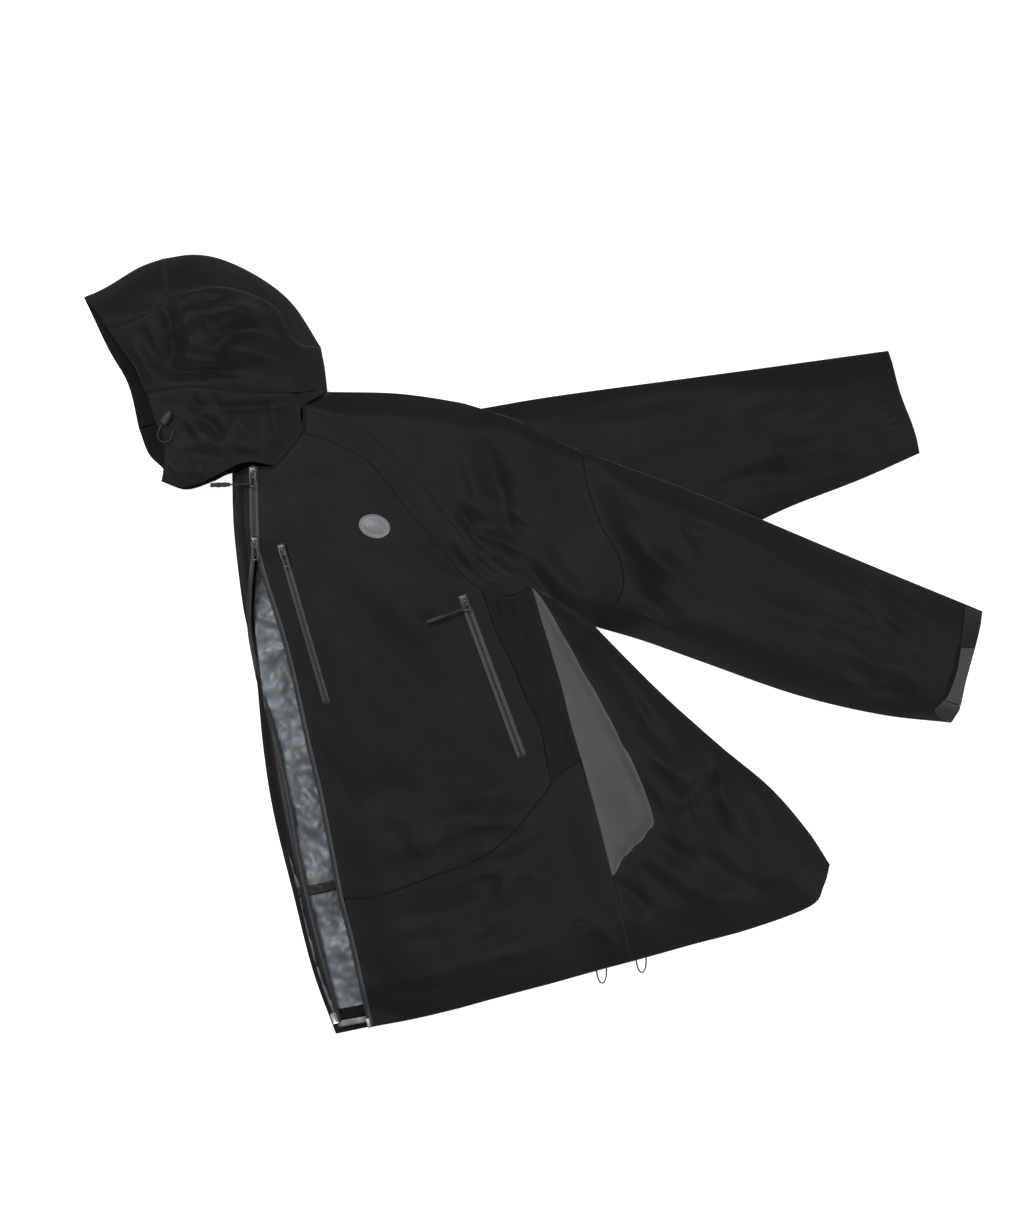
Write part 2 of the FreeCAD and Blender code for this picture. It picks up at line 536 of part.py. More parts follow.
def along_lock(name, radius, length, start):
    """A cylinder on the cord lock's axis, from so far below the lock's top end."""
    bar = doc.addObject("Part::Cylinder", name)
    bar.setExpression("Radius", radius)
    bar.setExpression("Height", length)
    bar.Placement = Placement(LOCK_TOP + LOCK_HEADING * start, Rotation(Vector(0, 0, 1), LOCK_HEADING))
    return bar


lock = doc.addObject("Part::Cut", "hood_cord_lock")
lock.Base = along_lock("lock_barrel", "Dimensions.lock_radius", "Dimensions.lock_length", 0)
lock.Tool = along_lock("lock_well", "Dimensions.button_radius + Dimensions.gap / 2",
                       "Dimensions.button_length + Dimensions.gap", 0)
NODES.append(lock)
NODES.append(along_lock("hood_lock_button", "Dimensions.button_radius", "Dimensions.button_length",
                        -size("button_travel") - size("gap")))
cord_start = LOCK_TOP + LOCK_HEADING * (size("lock_length") + 0.1)
cord("hood_cord", [cord_start, cord_start + LOCK_HEADING * 9 + Vector(0, 0, -2), (-450, 245, 61.6),
    (-440, 241, 61.5),
                   (-432, 247, 61.6), (-431, 257, 61.5)])

# ---------------------------------------------------------------- near (left) sleeve
near_tube = sleeve_tube("near_tube", [
    (-100, size("near_width"), size("sleeve_thick"), size("near_low")),
    (225, size("near_width") - 14, size("sleeve_thick"), size("near_low")),
    (400, size("near_cuff_width") + 8, size("sleeve_thick"), size("near_cuff_low")),
    (size("near_length"), size("near_cuff_width"), size("sleeve_thick"), size("near_cuff_low"))],
    NEAR_SHOULDER, NEAR_ANGLE)
near_end = size("near_length")
near_cuff_start = near_end - size("cuff_band")
sleeve_piece("near_sleeve_upper", near_tube, 0, 190, NEAR_SHOULDER, NEAR_ANGLE, "near_root")
sleeve_piece("near_sleeve_forearm", near_tube, 190, near_cuff_start, NEAR_SHOULDER, NEAR_ANGLE)
sleeve_piece("near_cuff", near_tube, near_cuff_start, near_end, NEAR_SHOULDER, NEAR_ANGLE)
CUFF_TOP = size("near_cuff_low") + size("sleeve_thick")
TAB_HINGE = -48


def on_cuff(label, length, gauge, lift, across):
    """A flat strap on top of the cuff, square to the sleeve."""
    strap = doc.addObject("Part::Box", label)
    strap.setExpression("Length", "Dimensions.tab_width")
    strap.setExpression("Width", "Dimensions." + length)
    strap.setExpression("Height", "Dimensions." + gauge)
    turn = Rotation(Vector(0, 0, 1), NEAR_ANGLE)
    corner = Vector(size("near_length") - size("tab_width") - 1, across, CUFF_TOP + lift)
    strap.Placement = Placement(Vector(*NEAR_SHOULDER, 0) + turn.multVec(corner), turn)
    NODES.append(strap)


on_cuff("cuff_loop_strip", "strip_length", "strip_gauge", 0, 4)
on_cuff("cuff_tab", "tab_length", "tab_gauge", size("strip_gauge") + size("gap"), TAB_HINGE)

# ---------------------------------------------------------------- far (right) sleeve
far_tube = sleeve_tube("far_tube", [
    (-100, size("far_width"), size("sleeve_thick"), size("far_low")),
    (size("far_length") - size("cuff_band"), size("far_cuff_width") + 10, size("sleeve_thick"),
    size("far_low")),
    (size("far_length"), size("far_cuff_width"), size("sleeve_thick") - 6, size("far_low"))],
    FAR_SHOULDER, FAR_ANGLE)
far_end = size("far_length")
far_cuff_start = far_end - size("cuff_band")
sleeve_piece("far_sleeve_upper", far_tube, 0, 180, FAR_SHOULDER, FAR_ANGLE, "far_root")
sleeve_piece("far_sleeve_forearm", far_tube, 180, far_cuff_start, FAR_SHOULDER, FAR_ANGLE)
sleeve_piece("far_cuff", far_tube, far_cuff_start, far_end, FAR_SHOULDER, FAR_ANGLE)

# ---------------------------------------------------------------- check and write
doc.recompute()
broken = [item.Label for item in doc.Objects if "Invalid" in item.State or "Error" in item.State]
for node in NODES:
    if node.Shape.isNull() or not node.Shape.isValid() or node.Shape.Volume <= 0:
        broken.append(node.Label)
if broken:
    raise RuntimeError("these objects failed: " + ", ".join(broken))
for node in NODES:
    node.Shape.exportStep("parts/%s.step" % node.Label)
whole = Part.makeCompound([node.Shape for node in NODES]).BoundBox
print("%d nodes, X %.1f to %.1f, Y %.1f to %.1f, Z %.1f to %.1f"
      % (len(NODES), whole.XMin, whole.XMax, whole.YMin, whole.YMax, whole.ZMin, whole.ZMax))
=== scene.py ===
# %% [markdown]
# # A hardshell jacket, cut and sewn in Blender
# A hardshell jacket is a set of flat cloth panels sewn edge to edge, with zips, cords and a few
# moulded pieces on top. This lesson follows a maker's order: the frame, the camera, the cords,
# the cloths, then each panel is cut along its seam lines, draped and stitched.

# %% Load the frame
import math

import bmesh
import bpy
import numpy as np
from mathutils import Matrix, Vector, noise
from mathutils.bvhtree import BVHTree
from mathutils.geometry import delaunay_2d_cdt


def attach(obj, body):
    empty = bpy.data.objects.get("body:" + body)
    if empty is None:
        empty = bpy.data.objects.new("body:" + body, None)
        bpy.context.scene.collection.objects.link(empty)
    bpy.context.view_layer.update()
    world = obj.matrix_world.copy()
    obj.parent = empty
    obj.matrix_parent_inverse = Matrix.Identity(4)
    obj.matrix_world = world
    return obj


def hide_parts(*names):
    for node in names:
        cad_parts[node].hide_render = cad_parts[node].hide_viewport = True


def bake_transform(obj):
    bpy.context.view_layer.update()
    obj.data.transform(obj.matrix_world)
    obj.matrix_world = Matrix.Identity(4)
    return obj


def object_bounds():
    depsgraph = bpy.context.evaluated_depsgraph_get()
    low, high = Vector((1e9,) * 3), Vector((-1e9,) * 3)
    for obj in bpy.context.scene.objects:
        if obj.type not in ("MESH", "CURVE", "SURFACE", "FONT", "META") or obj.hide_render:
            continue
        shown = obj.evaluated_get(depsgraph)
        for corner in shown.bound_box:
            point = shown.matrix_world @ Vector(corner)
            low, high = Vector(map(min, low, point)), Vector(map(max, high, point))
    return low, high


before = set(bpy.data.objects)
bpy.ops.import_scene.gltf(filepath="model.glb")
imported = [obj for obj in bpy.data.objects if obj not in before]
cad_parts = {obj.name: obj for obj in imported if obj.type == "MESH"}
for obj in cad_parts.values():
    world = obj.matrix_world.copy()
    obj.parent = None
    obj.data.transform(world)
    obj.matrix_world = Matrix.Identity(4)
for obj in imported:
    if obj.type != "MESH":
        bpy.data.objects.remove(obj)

CAD_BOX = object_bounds()
bpy.context.preferences.edit.use_global_undo = False
bpy.ops.object.select_all(action="DESELECT")

# %% [markdown]
# ## The camera and the light
# The jacket lies flat and is seen from straight above, so the camera looks down from far away,
# which keeps the outline free of perspective. Black cloth shows its folds only by the light that
# skims over them, so two wide soft lamps stand low on either side and one soft lamp hangs above.

# %% Camera, lamps and floor
VIEW_HEIGHT, VIEW_DISTANCE = 1.475, 5.0
VIEW_CENTRE = Vector((-0.026, 0.036, 0.0))
SENSOR = 24.0

bpy.ops.object.camera_add(location=VIEW_CENTRE + Vector((0, 0, VIEW_DISTANCE)))
camera = bpy.context.object
camera.name = "camera_above"
camera.data.sensor_fit = "VERTICAL"
camera.data.sensor_height = SENSOR
camera.data.lens = SENSOR * (VIEW_DISTANCE - CAD_BOX[1][2] / 2) / VIEW_HEIGHT
camera.data.clip_end = 50
bpy.context.scene.camera = camera


def soft_lamp(name, place, aim, width, power):
    bpy.ops.object.light_add(type="AREA", location=place)
    lamp = bpy.context.object
    lamp.name = name
    lamp.data.shape = "RECTANGLE"
    lamp.data.size = width
    lamp.data.size_y = width * 0.6
    lamp.data.energy = power
    lamp.rotation_euler = (Vector(aim) - Vector(place)).to_track_quat("-Z", "Y").to_euler()
    return lamp


soft_lamp("lamp_key", (-1.1, 1.0, 2.6), (0, 0, 0), 1.1, 42)
soft_lamp("lamp_side", (2.3, -0.6, 1.5), (0.1, 0, 0), 1.3, 27)
soft_lamp("lamp_top", (0.0, -0.3, 3.4), (0, 0, 0), 2.2, 14)
world = bpy.data.worlds.new("studio")
bpy.context.scene.world = world
world.use_nodes = True
world.node_tree.nodes["Background"].inputs["Color"].default_value = (1.0, 1.0, 1.0, 1.0)
world.node_tree.nodes["Background"].inputs["Strength"].default_value = 0.17
bpy.context.scene.view_settings.view_transform = "Standard"

bpy.ops.mesh.primitive_plane_add(size=14, location=(0, 0, -0.0005))
floor = bpy.context.object
floor.name = "studio_floor"
floor.visible_diffuse = False
floor.visible_glossy = False
print("camera %.1f m up, lens %.1f mm" % (VIEW_DISTANCE, camera.data.lens))

# %% [markdown]
# ## Shader arithmetic
# Each cloth below is a small sum of patterns. The class wraps a socket, so that a pattern is
# written as ordinary arithmetic and every step becomes a Math node.

# %% A socket that does arithmetic
class Wire:
    """One output in a material's node tree."""

    def __init__(self, tree, socket):
        self.tree, self.socket = tree, socket

    def maths(self, operation, other=None):
        values = [self, other] if other is not None else [self]
        return self.tree.add("ShaderNodeMath", {"operation": operation}, dict(enumerate(values)))

    def __add__(self, other):
        return self.maths("ADD", other)

    def __sub__(self, other):
        return self.maths("SUBTRACT", other)

    def __mul__(self, other):
        return self.maths("MULTIPLY", other)

    def sine(self):
        return self.maths("SINE")


class Finish:
    """A material under construction, with its Principled shader."""

    def __init__(self, name, **plain):
        self.material = bpy.data.materials.new(name)
        self.material.use_nodes = True
        self.nodes = self.material.node_tree.nodes
        self.links = self.material.node_tree.links
        self.shader = self.nodes["Principled BSDF"]
        for socket, value in plain.items():
            self.shader.inputs[socket.replace("_", " ")].default_value = value

    def add(self, kind, settings=None, inputs=None, output=0):
        node = self.nodes.new(kind)
        for key, value in (settings or {}).items():
            setattr(node, key, value)
        for key, value in (inputs or {}).items():
            if isinstance(value, Wire):
                self.links.new(value.socket, node.inputs[key])
            else:
                node.inputs[key].default_value = value
        return Wire(self, node.outputs[output])

    def drive(self, socket, wire):
        self.links.new(wire.socket, self.shader.inputs[socket])

    def place(self):
        return self.add("ShaderNodeTexCoord", output="Object")

    def flat(self):
        return self.add("ShaderNodeTexCoord", output="UV")

    def attribute(self, name):
        return self.add("ShaderNodeAttribute", {"attribute_name": name}, output="Fac")

    def noise(self, scale, detail=3.0, where=None):
        return self.add("ShaderNodeTexNoise", {}, {
            "Vector": where or self.place(), "Scale": scale, "Detail": detail, "Roughness": 0.55})

    def tint(self, factor, dark, light):
        return self.add("ShaderNodeMix", {"data_type": "RGBA"},
                        {0: factor, 6: (*dark, 1), 7: (*light, 1)}, output=2)

    def bump(self, height, strength, distance):
        self.drive("Normal", self.add("ShaderNodeBump", {}, {
            "Height": height, "Strength": strength, "Distance": distance}))


# %% [markdown]
# ## The cloths and the hard finishes
# The shell is a matt laminate with a fine plain weave: two crossed sine waves a little under a
# millimetre apart make the threads, slow noise makes the cloth uneven, and the edges along the
# seams are rubbed a little lighter. The threads are read from the flat cutting pattern, which each
# panel carries as its UV map, so they follow the cloth round every fold.

# %% Cloth finishes
def woven(name, dark, light, rough, thread=0.0008, depth=0.00006, wear=0.35, **plain):
    """A plain weave; UV is in metres, so thread is the real distance between threads."""
    cloth = Finish(name, **plain)
    axes = cloth.add("ShaderNodeSeparateXYZ", {}, {0: cloth.flat()})
    across = Wire(cloth, axes.socket.node.outputs[0])
    along = Wire(cloth, axes.socket.node.outputs[1])
    turns = 2 * math.pi / thread
    weave = (across * turns).sine() * (along * turns).sine()
    mottle = cloth.noise(9.0, 4.0)
    rubbed = cloth.attribute("wear") * wear
    shade = cloth.add("ShaderNodeClamp", {}, {0: mottle * 0.8 - 0.15 + rubbed + weave * 0.06})
    cloth.drive("Base Color", cloth.tint(shade, dark, light))
    cloth.drive("Roughness", cloth.noise(40.0, 2.0) * 0.18 + (rough - 0.09))
    cloth.bump(weave * 0.5 + cloth.noise(900.0, 1.0) * 0.6, 0.6, depth)
    return cloth.material


SHELL = woven("shell_laminate", (0.0068, 0.0065, 0.0068), (0.0170, 0.0163, 0.0168), 0.68,
              Sheen_Weight=0.08, Sheen_Roughness=0.50, Specular_IOR_Level=0.20)
SHELL_WARM = woven("shell_underarm", (0.0070, 0.0050, 0.0050), (0.0165, 0.0122, 0.0120), 0.72,
                   Sheen_Weight=0.08, Sheen_Roughness=0.5, Specular_IOR_Level=0.18)
INNER = woven("inner_backer", (0.0050, 0.0050, 0.0060), (0.0140, 0.0140, 0.0160), 0.75,
              Specular_IOR_Level=0.15)
GUSSET = woven("vent_knit", (0.060, 0.053, 0.056), (0.128, 0.117, 0.121), 0.88, thread=0.0014,
               depth=0.00015, Sheen_Weight=0.25, Sheen_Roughness=0.6)
FACING = woven("facing_tape", (0.016, 0.015, 0.018), (0.036, 0.034, 0.038), 0.6)
LOOP_PILE = woven("loop_pile", (0.0035, 0.0035, 0.004), (0.014, 0.014, 0.015), 0.95, thread=0.002,
                  depth=0.0006, Sheen_Weight=0.15)


def silver_cloth():
    """The lining is coated with metal, so it is shiny, bluish and full of fine creases, with painted shade:
    its colour is darker in the crease hollows and lighter on the crease tops.
    """
    cloth = Finish("silver_lining", Metallic=0.45, Specular_IOR_Level=0.5)
    creases = cloth.noise(26.0, 6.0)
    fine = cloth.noise(180.0, 3.0)
    # painted shade: the colour follows the crease bump, darker in the hollows and lighter on the tops
    cloth.drive("Base Color", cloth.tint(creases * 1.2 - 0.15, (0.125, 0.145, 0.162), (0.215, 0.240, 0.262)))
    cloth.drive("Roughness", fine * 0.3 + 0.36)
    cloth.bump(creases * 0.8 + fine * 0.25, 0.5, 0.0012)
    return cloth.material


def laminated(name, dark, light, rough):
    """Zip tape sealed under a smooth film, with a faint scuff."""
    tape = Finish(name, Specular_IOR_Level=0.5)
    scuff = tape.noise(130.0, 4.0)
    tape.drive("Base Color", tape.tint(scuff * 1.1 + tape.attribute("wear") * 0.3, dark, light))
    tape.drive("Roughness", scuff * 0.25 + rough)
    tape.bump(tape.noise(500.0, 2.0), 0.35, 0.0001)
    return tape.material


def moulded(name, dark, light, rough, grain=300.0, **plain):
    piece = Finish(name, **plain)
    speckle = piece.noise(grain, 3.0)
    piece.drive("Base Color", piece.tint(speckle, dark, light))
    piece.drive("Roughness", piece.noise(grain / 3, 2.0) * 0.2 + rough)
    piece.bump(speckle, 0.3, 0.00008)
    return piece.material


SILVER = silver_cloth()
TAPE = laminated("laminated_tape", (0.024, 0.025, 0.027), (0.054, 0.056, 0.060), 0.42)
TAPE_DARK = laminated("zip_tape_dark", (0.012, 0.012, 0.013), (0.03, 0.03, 0.032), 0.5)
TEETH = moulded("zip_teeth", (0.012, 0.012, 0.013), (0.03, 0.03, 0.032), 0.36)
SLIDER = moulded("coated_slider", (0.050, 0.051, 0.054), (0.11, 0.112, 0.116), 0.26, Metallic=0.75)
BRIGHT = moulded("bright_end", (0.42, 0.44, 0.46), (0.62, 0.64, 0.66), 0.3, Metallic=0.9)
GRIP = moulded("grip_rubber", (0.012, 0.012, 0.012), (0.03, 0.03, 0.031), 0.5)
TAB_RUBBER = moulded("cuff_rubber", (0.028, 0.029, 0.031), (0.055, 0.057, 0.060), 0.5)
BADGE = moulded("badge_silicone", (0.145, 0.155, 0.165), (0.25, 0.262, 0.275), 0.42, Metallic=0.3)
THREAD = moulded("stitch_thread", (0.016, 0.016, 0.018), (0.045, 0.045, 0.05), 0.6)
CORD = moulded("braided_cord", (0.012, 0.012, 0.013), (0.05, 0.05, 0.054), 0.7, grain=900.0)

FLOOR = Finish("studio_paper", Roughness=0.9)
FLOOR.drive("Base Color", FLOOR.tint(FLOOR.noise(2.0), (0.93, 0.93, 0.93), (0.96, 0.96, 0.96)))
FLOOR.shader.inputs["Emission Color"].default_value = (1, 1, 1, 1)
FLOOR.shader.inputs["Emission Strength"].default_value = 0.80
floor.data.materials.append(FLOOR.material)
print(len(bpy.data.materials), "finishes")

# %% [markdown]
# ## Lines and surfaces
# Seam lines are given as few points and drawn as smooth curves. All of them are in
# millimetres in the jacket's own frame and turned into metres here.

# %% Lines
def line(*points):
    """A line through listed points in millimetres, as an array in metres."""
    return np.array(points, float) / 1000


def smooth(points, step=0.0045):
    """A curve through the points (Catmull-Rom), resampled at an even step."""
    padded = np.vstack([2 * points[0] - points[1], points, 2 * points[-1] - points[-2]])
    fine = []
    for a, b, c, d in zip(padded, padded[1:], padded[2:], padded[3:]):
        for share in np.linspace(0, 1, 24, endpoint=False):
            fine.append(0.5 * (2 * b + (c - a) * share + (2 * a - 5 * b + 4 * c - d) * share ** 2
                               + (3 * b - a - 3 * c + d) * share ** 3))
    fine.append(points[-1])
    fine = np.array(fine)
    steps = np.concatenate([[0], np.cumsum(np.linalg.norm(np.diff(fine, axis=0), axis=1))])
    count = max(int(round(steps[-1] / step)), 1)
    wanted = np.linspace(0, steps[-1], count + 1)
    return np.column_stack([np.interp(wanted, steps, fine[:, axis]) for axis in range(points.shape[1])])


def curve(*points, step=0.0045):
    """A seam line through listed places in millimetres."""
    return smooth(line(*points), step)


def loop(*runs):
    """Runs joined end to end into one closed outline."""
    joined = []
    for run in runs:
        for spot in run:
            if not joined or np.linalg.norm(spot - joined[-1]) > 1e-5:
                joined.append(spot)
    if np.linalg.norm(joined[0] - joined[-1]) < 1e-5:
        joined.pop()
    return np.array(joined)


def ring(outline):
    """A closed outline as a run that ends where it starts."""
    return np.vstack([outline, outline[:1]])


def nearest(spots, run):
    """For each spot: its distance to a run of points, and the share of the run at the nearest place."""
    best = np.full(len(spots), 1e9)
    share = np.zeros(len(spots))
    for index, (start, end) in enumerate(zip(run, run[1:])):
        side = end - start
        along = np.clip(((spots - start) @ side) / max(side @ side, 1e-12), 0, 1)
        gap = np.linalg.norm(spots - (start + along[:, None] * side), axis=1)
        closer = gap < best
        best[closer] = gap[closer]
        share[closer] = (index + along[closer]) / (len(run) - 1)
    return best, share


def gap_to(spots, run):
    """The distance from each spot to a run of points."""
    return nearest(spots, run)[0]


def bell(gap, width):
    """1 at no distance, fading smoothly to about a third at a width."""
    return np.exp(-(gap / width) ** 2)


def ease(value, low, high):
    """0 below low, 1 above high, smooth between."""
    share = np.clip((value - low) / (high - low), 0, 1)
    return share * share * (3 - 2 * share)


def folds(spots, creases):
    """Ridges (positive) and valleys (negative): each is points, height in mm and half width in mm."""
    lift = np.zeros(len(spots))
    for points, height, width in creases:
        run = curve(*points, step=0.010)
        reach = 2.6 * width / 1000
        near = np.all((spots > run.min(0) - reach) & (spots < run.max(0) + reach), axis=1)
        if not near.any():
            continue
        gap, share = nearest(spots[near], run)
        fade = np.sin(np.pi * np.clip(share, 0.02, 0.98)) ** 0.6
        lift[near] += height / 1000 * fade * bell(gap, width / 1000)
    return lift


LEFT_EDGE = curve((-364, 207), (-362, 139), (-351, 46), (-337, -23), (-327, -124), (-314, -206),
                        (-290, -304), (-267, -394), (-239, -471))
RIGHT_EDGE = curve((358, -266), (331, -225), (286, -173), (226, -123), (163, -67), (118, -23), (75, 21))
SHOULDER = curve((-64, 285), (-94, 293), (-165, 303), (-249, 305))
ZIP_CLOSED = curve((-337, 214), (-336, 150), (-334, 112))
OPEN_LEFT_UPPER = curve((-334, 112), (-340, 47), (-340, 13), (-331, -39))
OPEN_LEFT_LOWER = curve((-331, -39), (-299, -155), (-277, -273), (-259, -351), (-236, -439), (-232, -469))
OPEN_RIGHT_UPPER = curve((-334, 112), (-326, 82), (-299, -8), (-273, -124), (-259, -183), (-235, -306))
OPEN_RIGHT_LOWER = curve((-235, -306), (-218, -374), (-199, -463))
FACING_EDGE = curve((-331, -39), (-311, -155), (-288, -273), (-266, -370), (-239, -471))
OVERLAY_FRONT = curve((-235, -306), (-188, -302), (-113, -275), (-58, -253), (-20, -219), (20, -169))
OVERLAY_SIDE = curve((20, -169), (35, -152), (57, -137))
SIDE_SEAM = curve((-62, 68), (-44, 14), (-26, -21), (-3, -79), (11, -112), (20, -169))
VENT_LEFT_UPPER = curve((-3, 71), (4, 47), (17, 4), (38, -67), (57, -137))
VENT_LEFT_LOWER = curve((57, -137), (75, -202), (94, -277))
VENT_RIGHT = curve((-3, 71), (25, 27), (75, -61), (115, -137), (142, -203), (137, -224), (109, -255),
                   (94, -277))
LOW_SEAM = curve((94, -277), (110, -339), (121, -382))
HEM_FRONT = curve((-199, -463), (-124, -448), (-8, -417), (121, -382))
HEM_BACK = curve((121, -382), (193, -362), (263, -343), (334, -316), (350, -292), (358, -266))
YOKE_LOW = curve((-277, 255), (-241, 244), (-194, 218), (-145, 157), (-86, 87), (-62, 68))
YOKE_TAIL = curve((-62, 68), (-30, 58), (-3, 71))
YOKE_UP = curve((-277, 286), (-241, 275), (-209, 261), (-147, 206), (-89, 133), (-44, 93), (-3, 71))
ARMPIT = curve((-3, 71), (40, 46), (75, 21))
ARM_SEAM = curve((58, 233), (65, 189), (82, 142), (103, 105), (108, 70), (92, 40), (75, 21))
SHOULDER_TOP = curve((58, 233), (20, 250), (-16, 269), (-64, 285))
NECK = curve((-277, 255), (-309, 214))
print("seams drawn: %.1f m" % (sum(np.linalg.norm(np.diff(run, axis=0), axis=1).sum() for run in (
    YOKE_LOW, YOKE_UP, SIDE_SEAM, OVERLAY_FRONT, VENT_LEFT_UPPER, VENT_RIGHT, ARM_SEAM, LOW_SEAM))))

# %% [markdown]
# ## Cutting cloth
# A panel is cut by filling its outline with an even mesh of small triangles, which bends the same
# in every direction, as cloth does. Panels that share a seam are cut along the same line, so that
# their edges meet point for point.

# %% Inside an outline
GRAIN = 0.0032


def inside(spots, outline):
    """Which spots lie inside a closed outline (even-odd rule)."""
    found = np.zeros(len(spots), bool)
    for start, end in zip(outline, np.roll(outline, -1, axis=0)):
        spans = (start[1] > spots[:, 1]) != (end[1] > spots[:, 1])
        cross = (end[0] - start[0]) * (spots[:, 1] - start[1]) / (end[1] - start[1] + 1e-15) + start[0]
        found ^= spans & (spots[:, 0] < cross)
    return found


# %% [markdown]
# ## The lie of the cloth
# A laid-down jacket is a low cushion of air between two cloths. The front rises from a rolled edge
# at the sides to a flat top where the zips lie, and is open at the hem. On that base, ridges and
# valleys are laid where the real cloth folds, and a finer crumple that runs mostly one way.

# %% Levels of the body
TOP = 0.0436
HEM_LEVEL = 0.017
HEM_ALL = np.vstack([HEM_FRONT, HEM_BACK])


def rise(gap, width, low, high):
    """From low at an edge to high at a width inside, steep first and then level."""
    return low + (high - low) * (1 - (1 - np.clip(gap / width, 0, 1)) ** 2.3)


def crumple(spots, size, height, seed, angle=0.0, stretch=2.5):
    """Soft ridges, longer along the angle (degrees) than across it."""
    turn = math.radians(angle)
    along = (spots[:, 0] * math.cos(turn) + spots[:, 1] * math.sin(turn)) / (size * stretch)
    across = (-spots[:, 0] * math.sin(turn) + spots[:, 1] * math.cos(turn)) / size
    values = [noise.noise(Vector((a + 0.4 * noise.noise(Vector((b, a, seed + 7.0))), b, seed)))
              for a, b in zip(along, across)]
    return np.array(values) * height


def creases(spots, size, height, seed, angle=0.0, stretch=3.0):
    """Sharp ridges with soft valleys between them, as stiff cloth makes where it is pushed together."""
    soft = crumple(spots, size, 1.0, seed, angle, stretch)
    return (0.28 - np.abs(soft)) * height


def around(spots, centre, radius):
    """1 at a place, fading to 0 at a radius (both in mm)."""
    gap = np.linalg.norm(spots - line(centre), axis=1)
    return 1 - ease(gap, 0.25 * radius / 1000, radius / 1000)


BODY_FOLDS = [
    (((60, 10), (85, -12), (118, -60), (140, -101), (165, -125)), -13, 11),
    (((105, -10), (130, -25), (165, -70), (200, -108)), 8, 12),
    (((180, -95), (203, -116), (212, -152), (190, -180), (160, -198)), -11, 12),
    (((140, -130), (165, -150), (178, -165)), 8, 10),
    (((235, -130), (256, -145), (263, -174), (255, -230)), -5, 9),
    (((215, -130), (235, -165), (238, -215), (225, -260)), 7, 15),
    (((150, -225), (165, -245), (195, -265)), -8, 12),
    (((96, -282), (118, -300), (142, -328)), -8, 10),
    (((130, -240), (180, -285), (240, -312)), 8, 14),
    (((200, -250), (250, -285), (300, -300)), -5, 12),
    (((280, -180), (300, -220), (320, -260)), 5, 14),
    (((-64, 250), (-46, 205), (-36, 160), (-50, 130)), -10, 12),
    (((-84, 225), (-66, 180), (-56, 148)), 6, 11),
    (((-93, 170), (-80, 145), (-62, 118)), -7, 7),
    (((-40, 150), (-50, 122), (-66, 105)), 6, 7),
    (((-13, 104), (10, 72), (36, 44), (70, 24)), -12, 9),
    (((10, 105), (40, 72), (80, 45)), 6, 10),
    (((-20, 230), (5, 190), (10, 150), (-5, 120)), 6, 18),
    (((20, 200), (50, 160), (60, 110)), -5, 16),
    (((-250, 95), (-205, 25), (-150, -35), (-105, -62)), -6, 22),
    (((-215, 95), (-160, 40), (-110, 0)), 4, 20),
    (((-280, 60), (-255, 0), (-235, -70), (-220, -150)), 3, 16),
    (((-150, 150), (-118, 112), (-80, 72)), -4, 10),
    (((-90, -60), (-80, -130), (-95, -190), (-130, -230)), 4, 22),
    (((-210, -190), (-160, -175), (-110, -200)), -4, 20),
    (((-190, -250), (-130, -235), (-75, -215), (-30, -190)), 4, 12),
    (((-180, -330), (-110, -318), (-40, -280)), -5, 16),
    (((-60, -300), (-20, -280), (20, -230)), 4, 14),
    (((-150, -400), (-80, -385), (-10, -365)), 3, 14),
    (((30, -200), (48, -260), (62, -330)), -4, 14),
    (((70, -330), (90, -350), (100, -372)), 4, 9),
    (((-300, 190), (-270, 200), (-230, 190)), -3, 12),
]


def body_level(spots):
    left = gap_to(spots, LEFT_EDGE)
    right = gap_to(spots, RIGHT_EDGE)
    top = gap_to(spots, SHOULDER)
    hem = gap_to(spots, HEM_ALL)
    level = rise(left, 0.024, 0.008, TOP)
    level = np.minimum(level, rise(right, 0.060, 0.007, TOP - 0.004))
    level = np.minimum(level, rise(top, 0.050, 0.010, TOP))
    level = np.minimum(level, rise(gap_to(spots, SHOULDER_TOP), 0.045, 0.027, TOP + 0.004))
    level = np.minimum(level, rise(hem, 0.090, HEM_LEVEL, TOP))
    calm = 1.0
    for run in (ZIP_CLOSED, OPEN_RIGHT_UPPER, OPEN_LEFT_UPPER, CHEST_LINE, HAND_LINE):
        calm = calm * (0.15 + 0.85 * ease(gap_to(spots, run), 0.010, 0.035))
    lift = folds(spots, BODY_FOLDS) + crumple(spots, 0.070, 0.0050, 3.0, -62, 2.4)
    lift += crumple(spots, 0.026, 0.0012, 11.0, -50, 2.2)
    lift += creases(spots, 0.030, 0.016, 17.0, -40, 2.2) * around(spots, (-40, 110), 95)
    lift += creases(spots, 0.040, 0.016, 19.0, -55, 2.4) * around(spots, (190, -190), 150)
    lift += creases(spots, 0.034, 0.010, 23.0, 25, 2.2) * around(spots, (-70, -260), 130)
    lift += creases(spots, 0.030, 0.008, 27.0, 12, 2.6) * around(spots, (-80, -390), 120)
    lift *= calm * ease(np.minimum(np.minimum(left, top), right), 0.0, 0.035)
    return np.clip(level + lift, 0.006, 0.066)


CHEST_LINE = curve((-304, 121), (-249, -71))
HAND_LINE = curve((-86, 60), (-14, -135))

# %% [markdown]
# ## Cutting with fine edges
# A seam shows as a narrow groove between two edges turned under, so each panel needs small
# triangles beside its edge and larger ones inside. Two rows of points follow the edge closely and
# the edge itself is pressed down by a millimetre.

# %% Panels with seams
SURFACES = {}


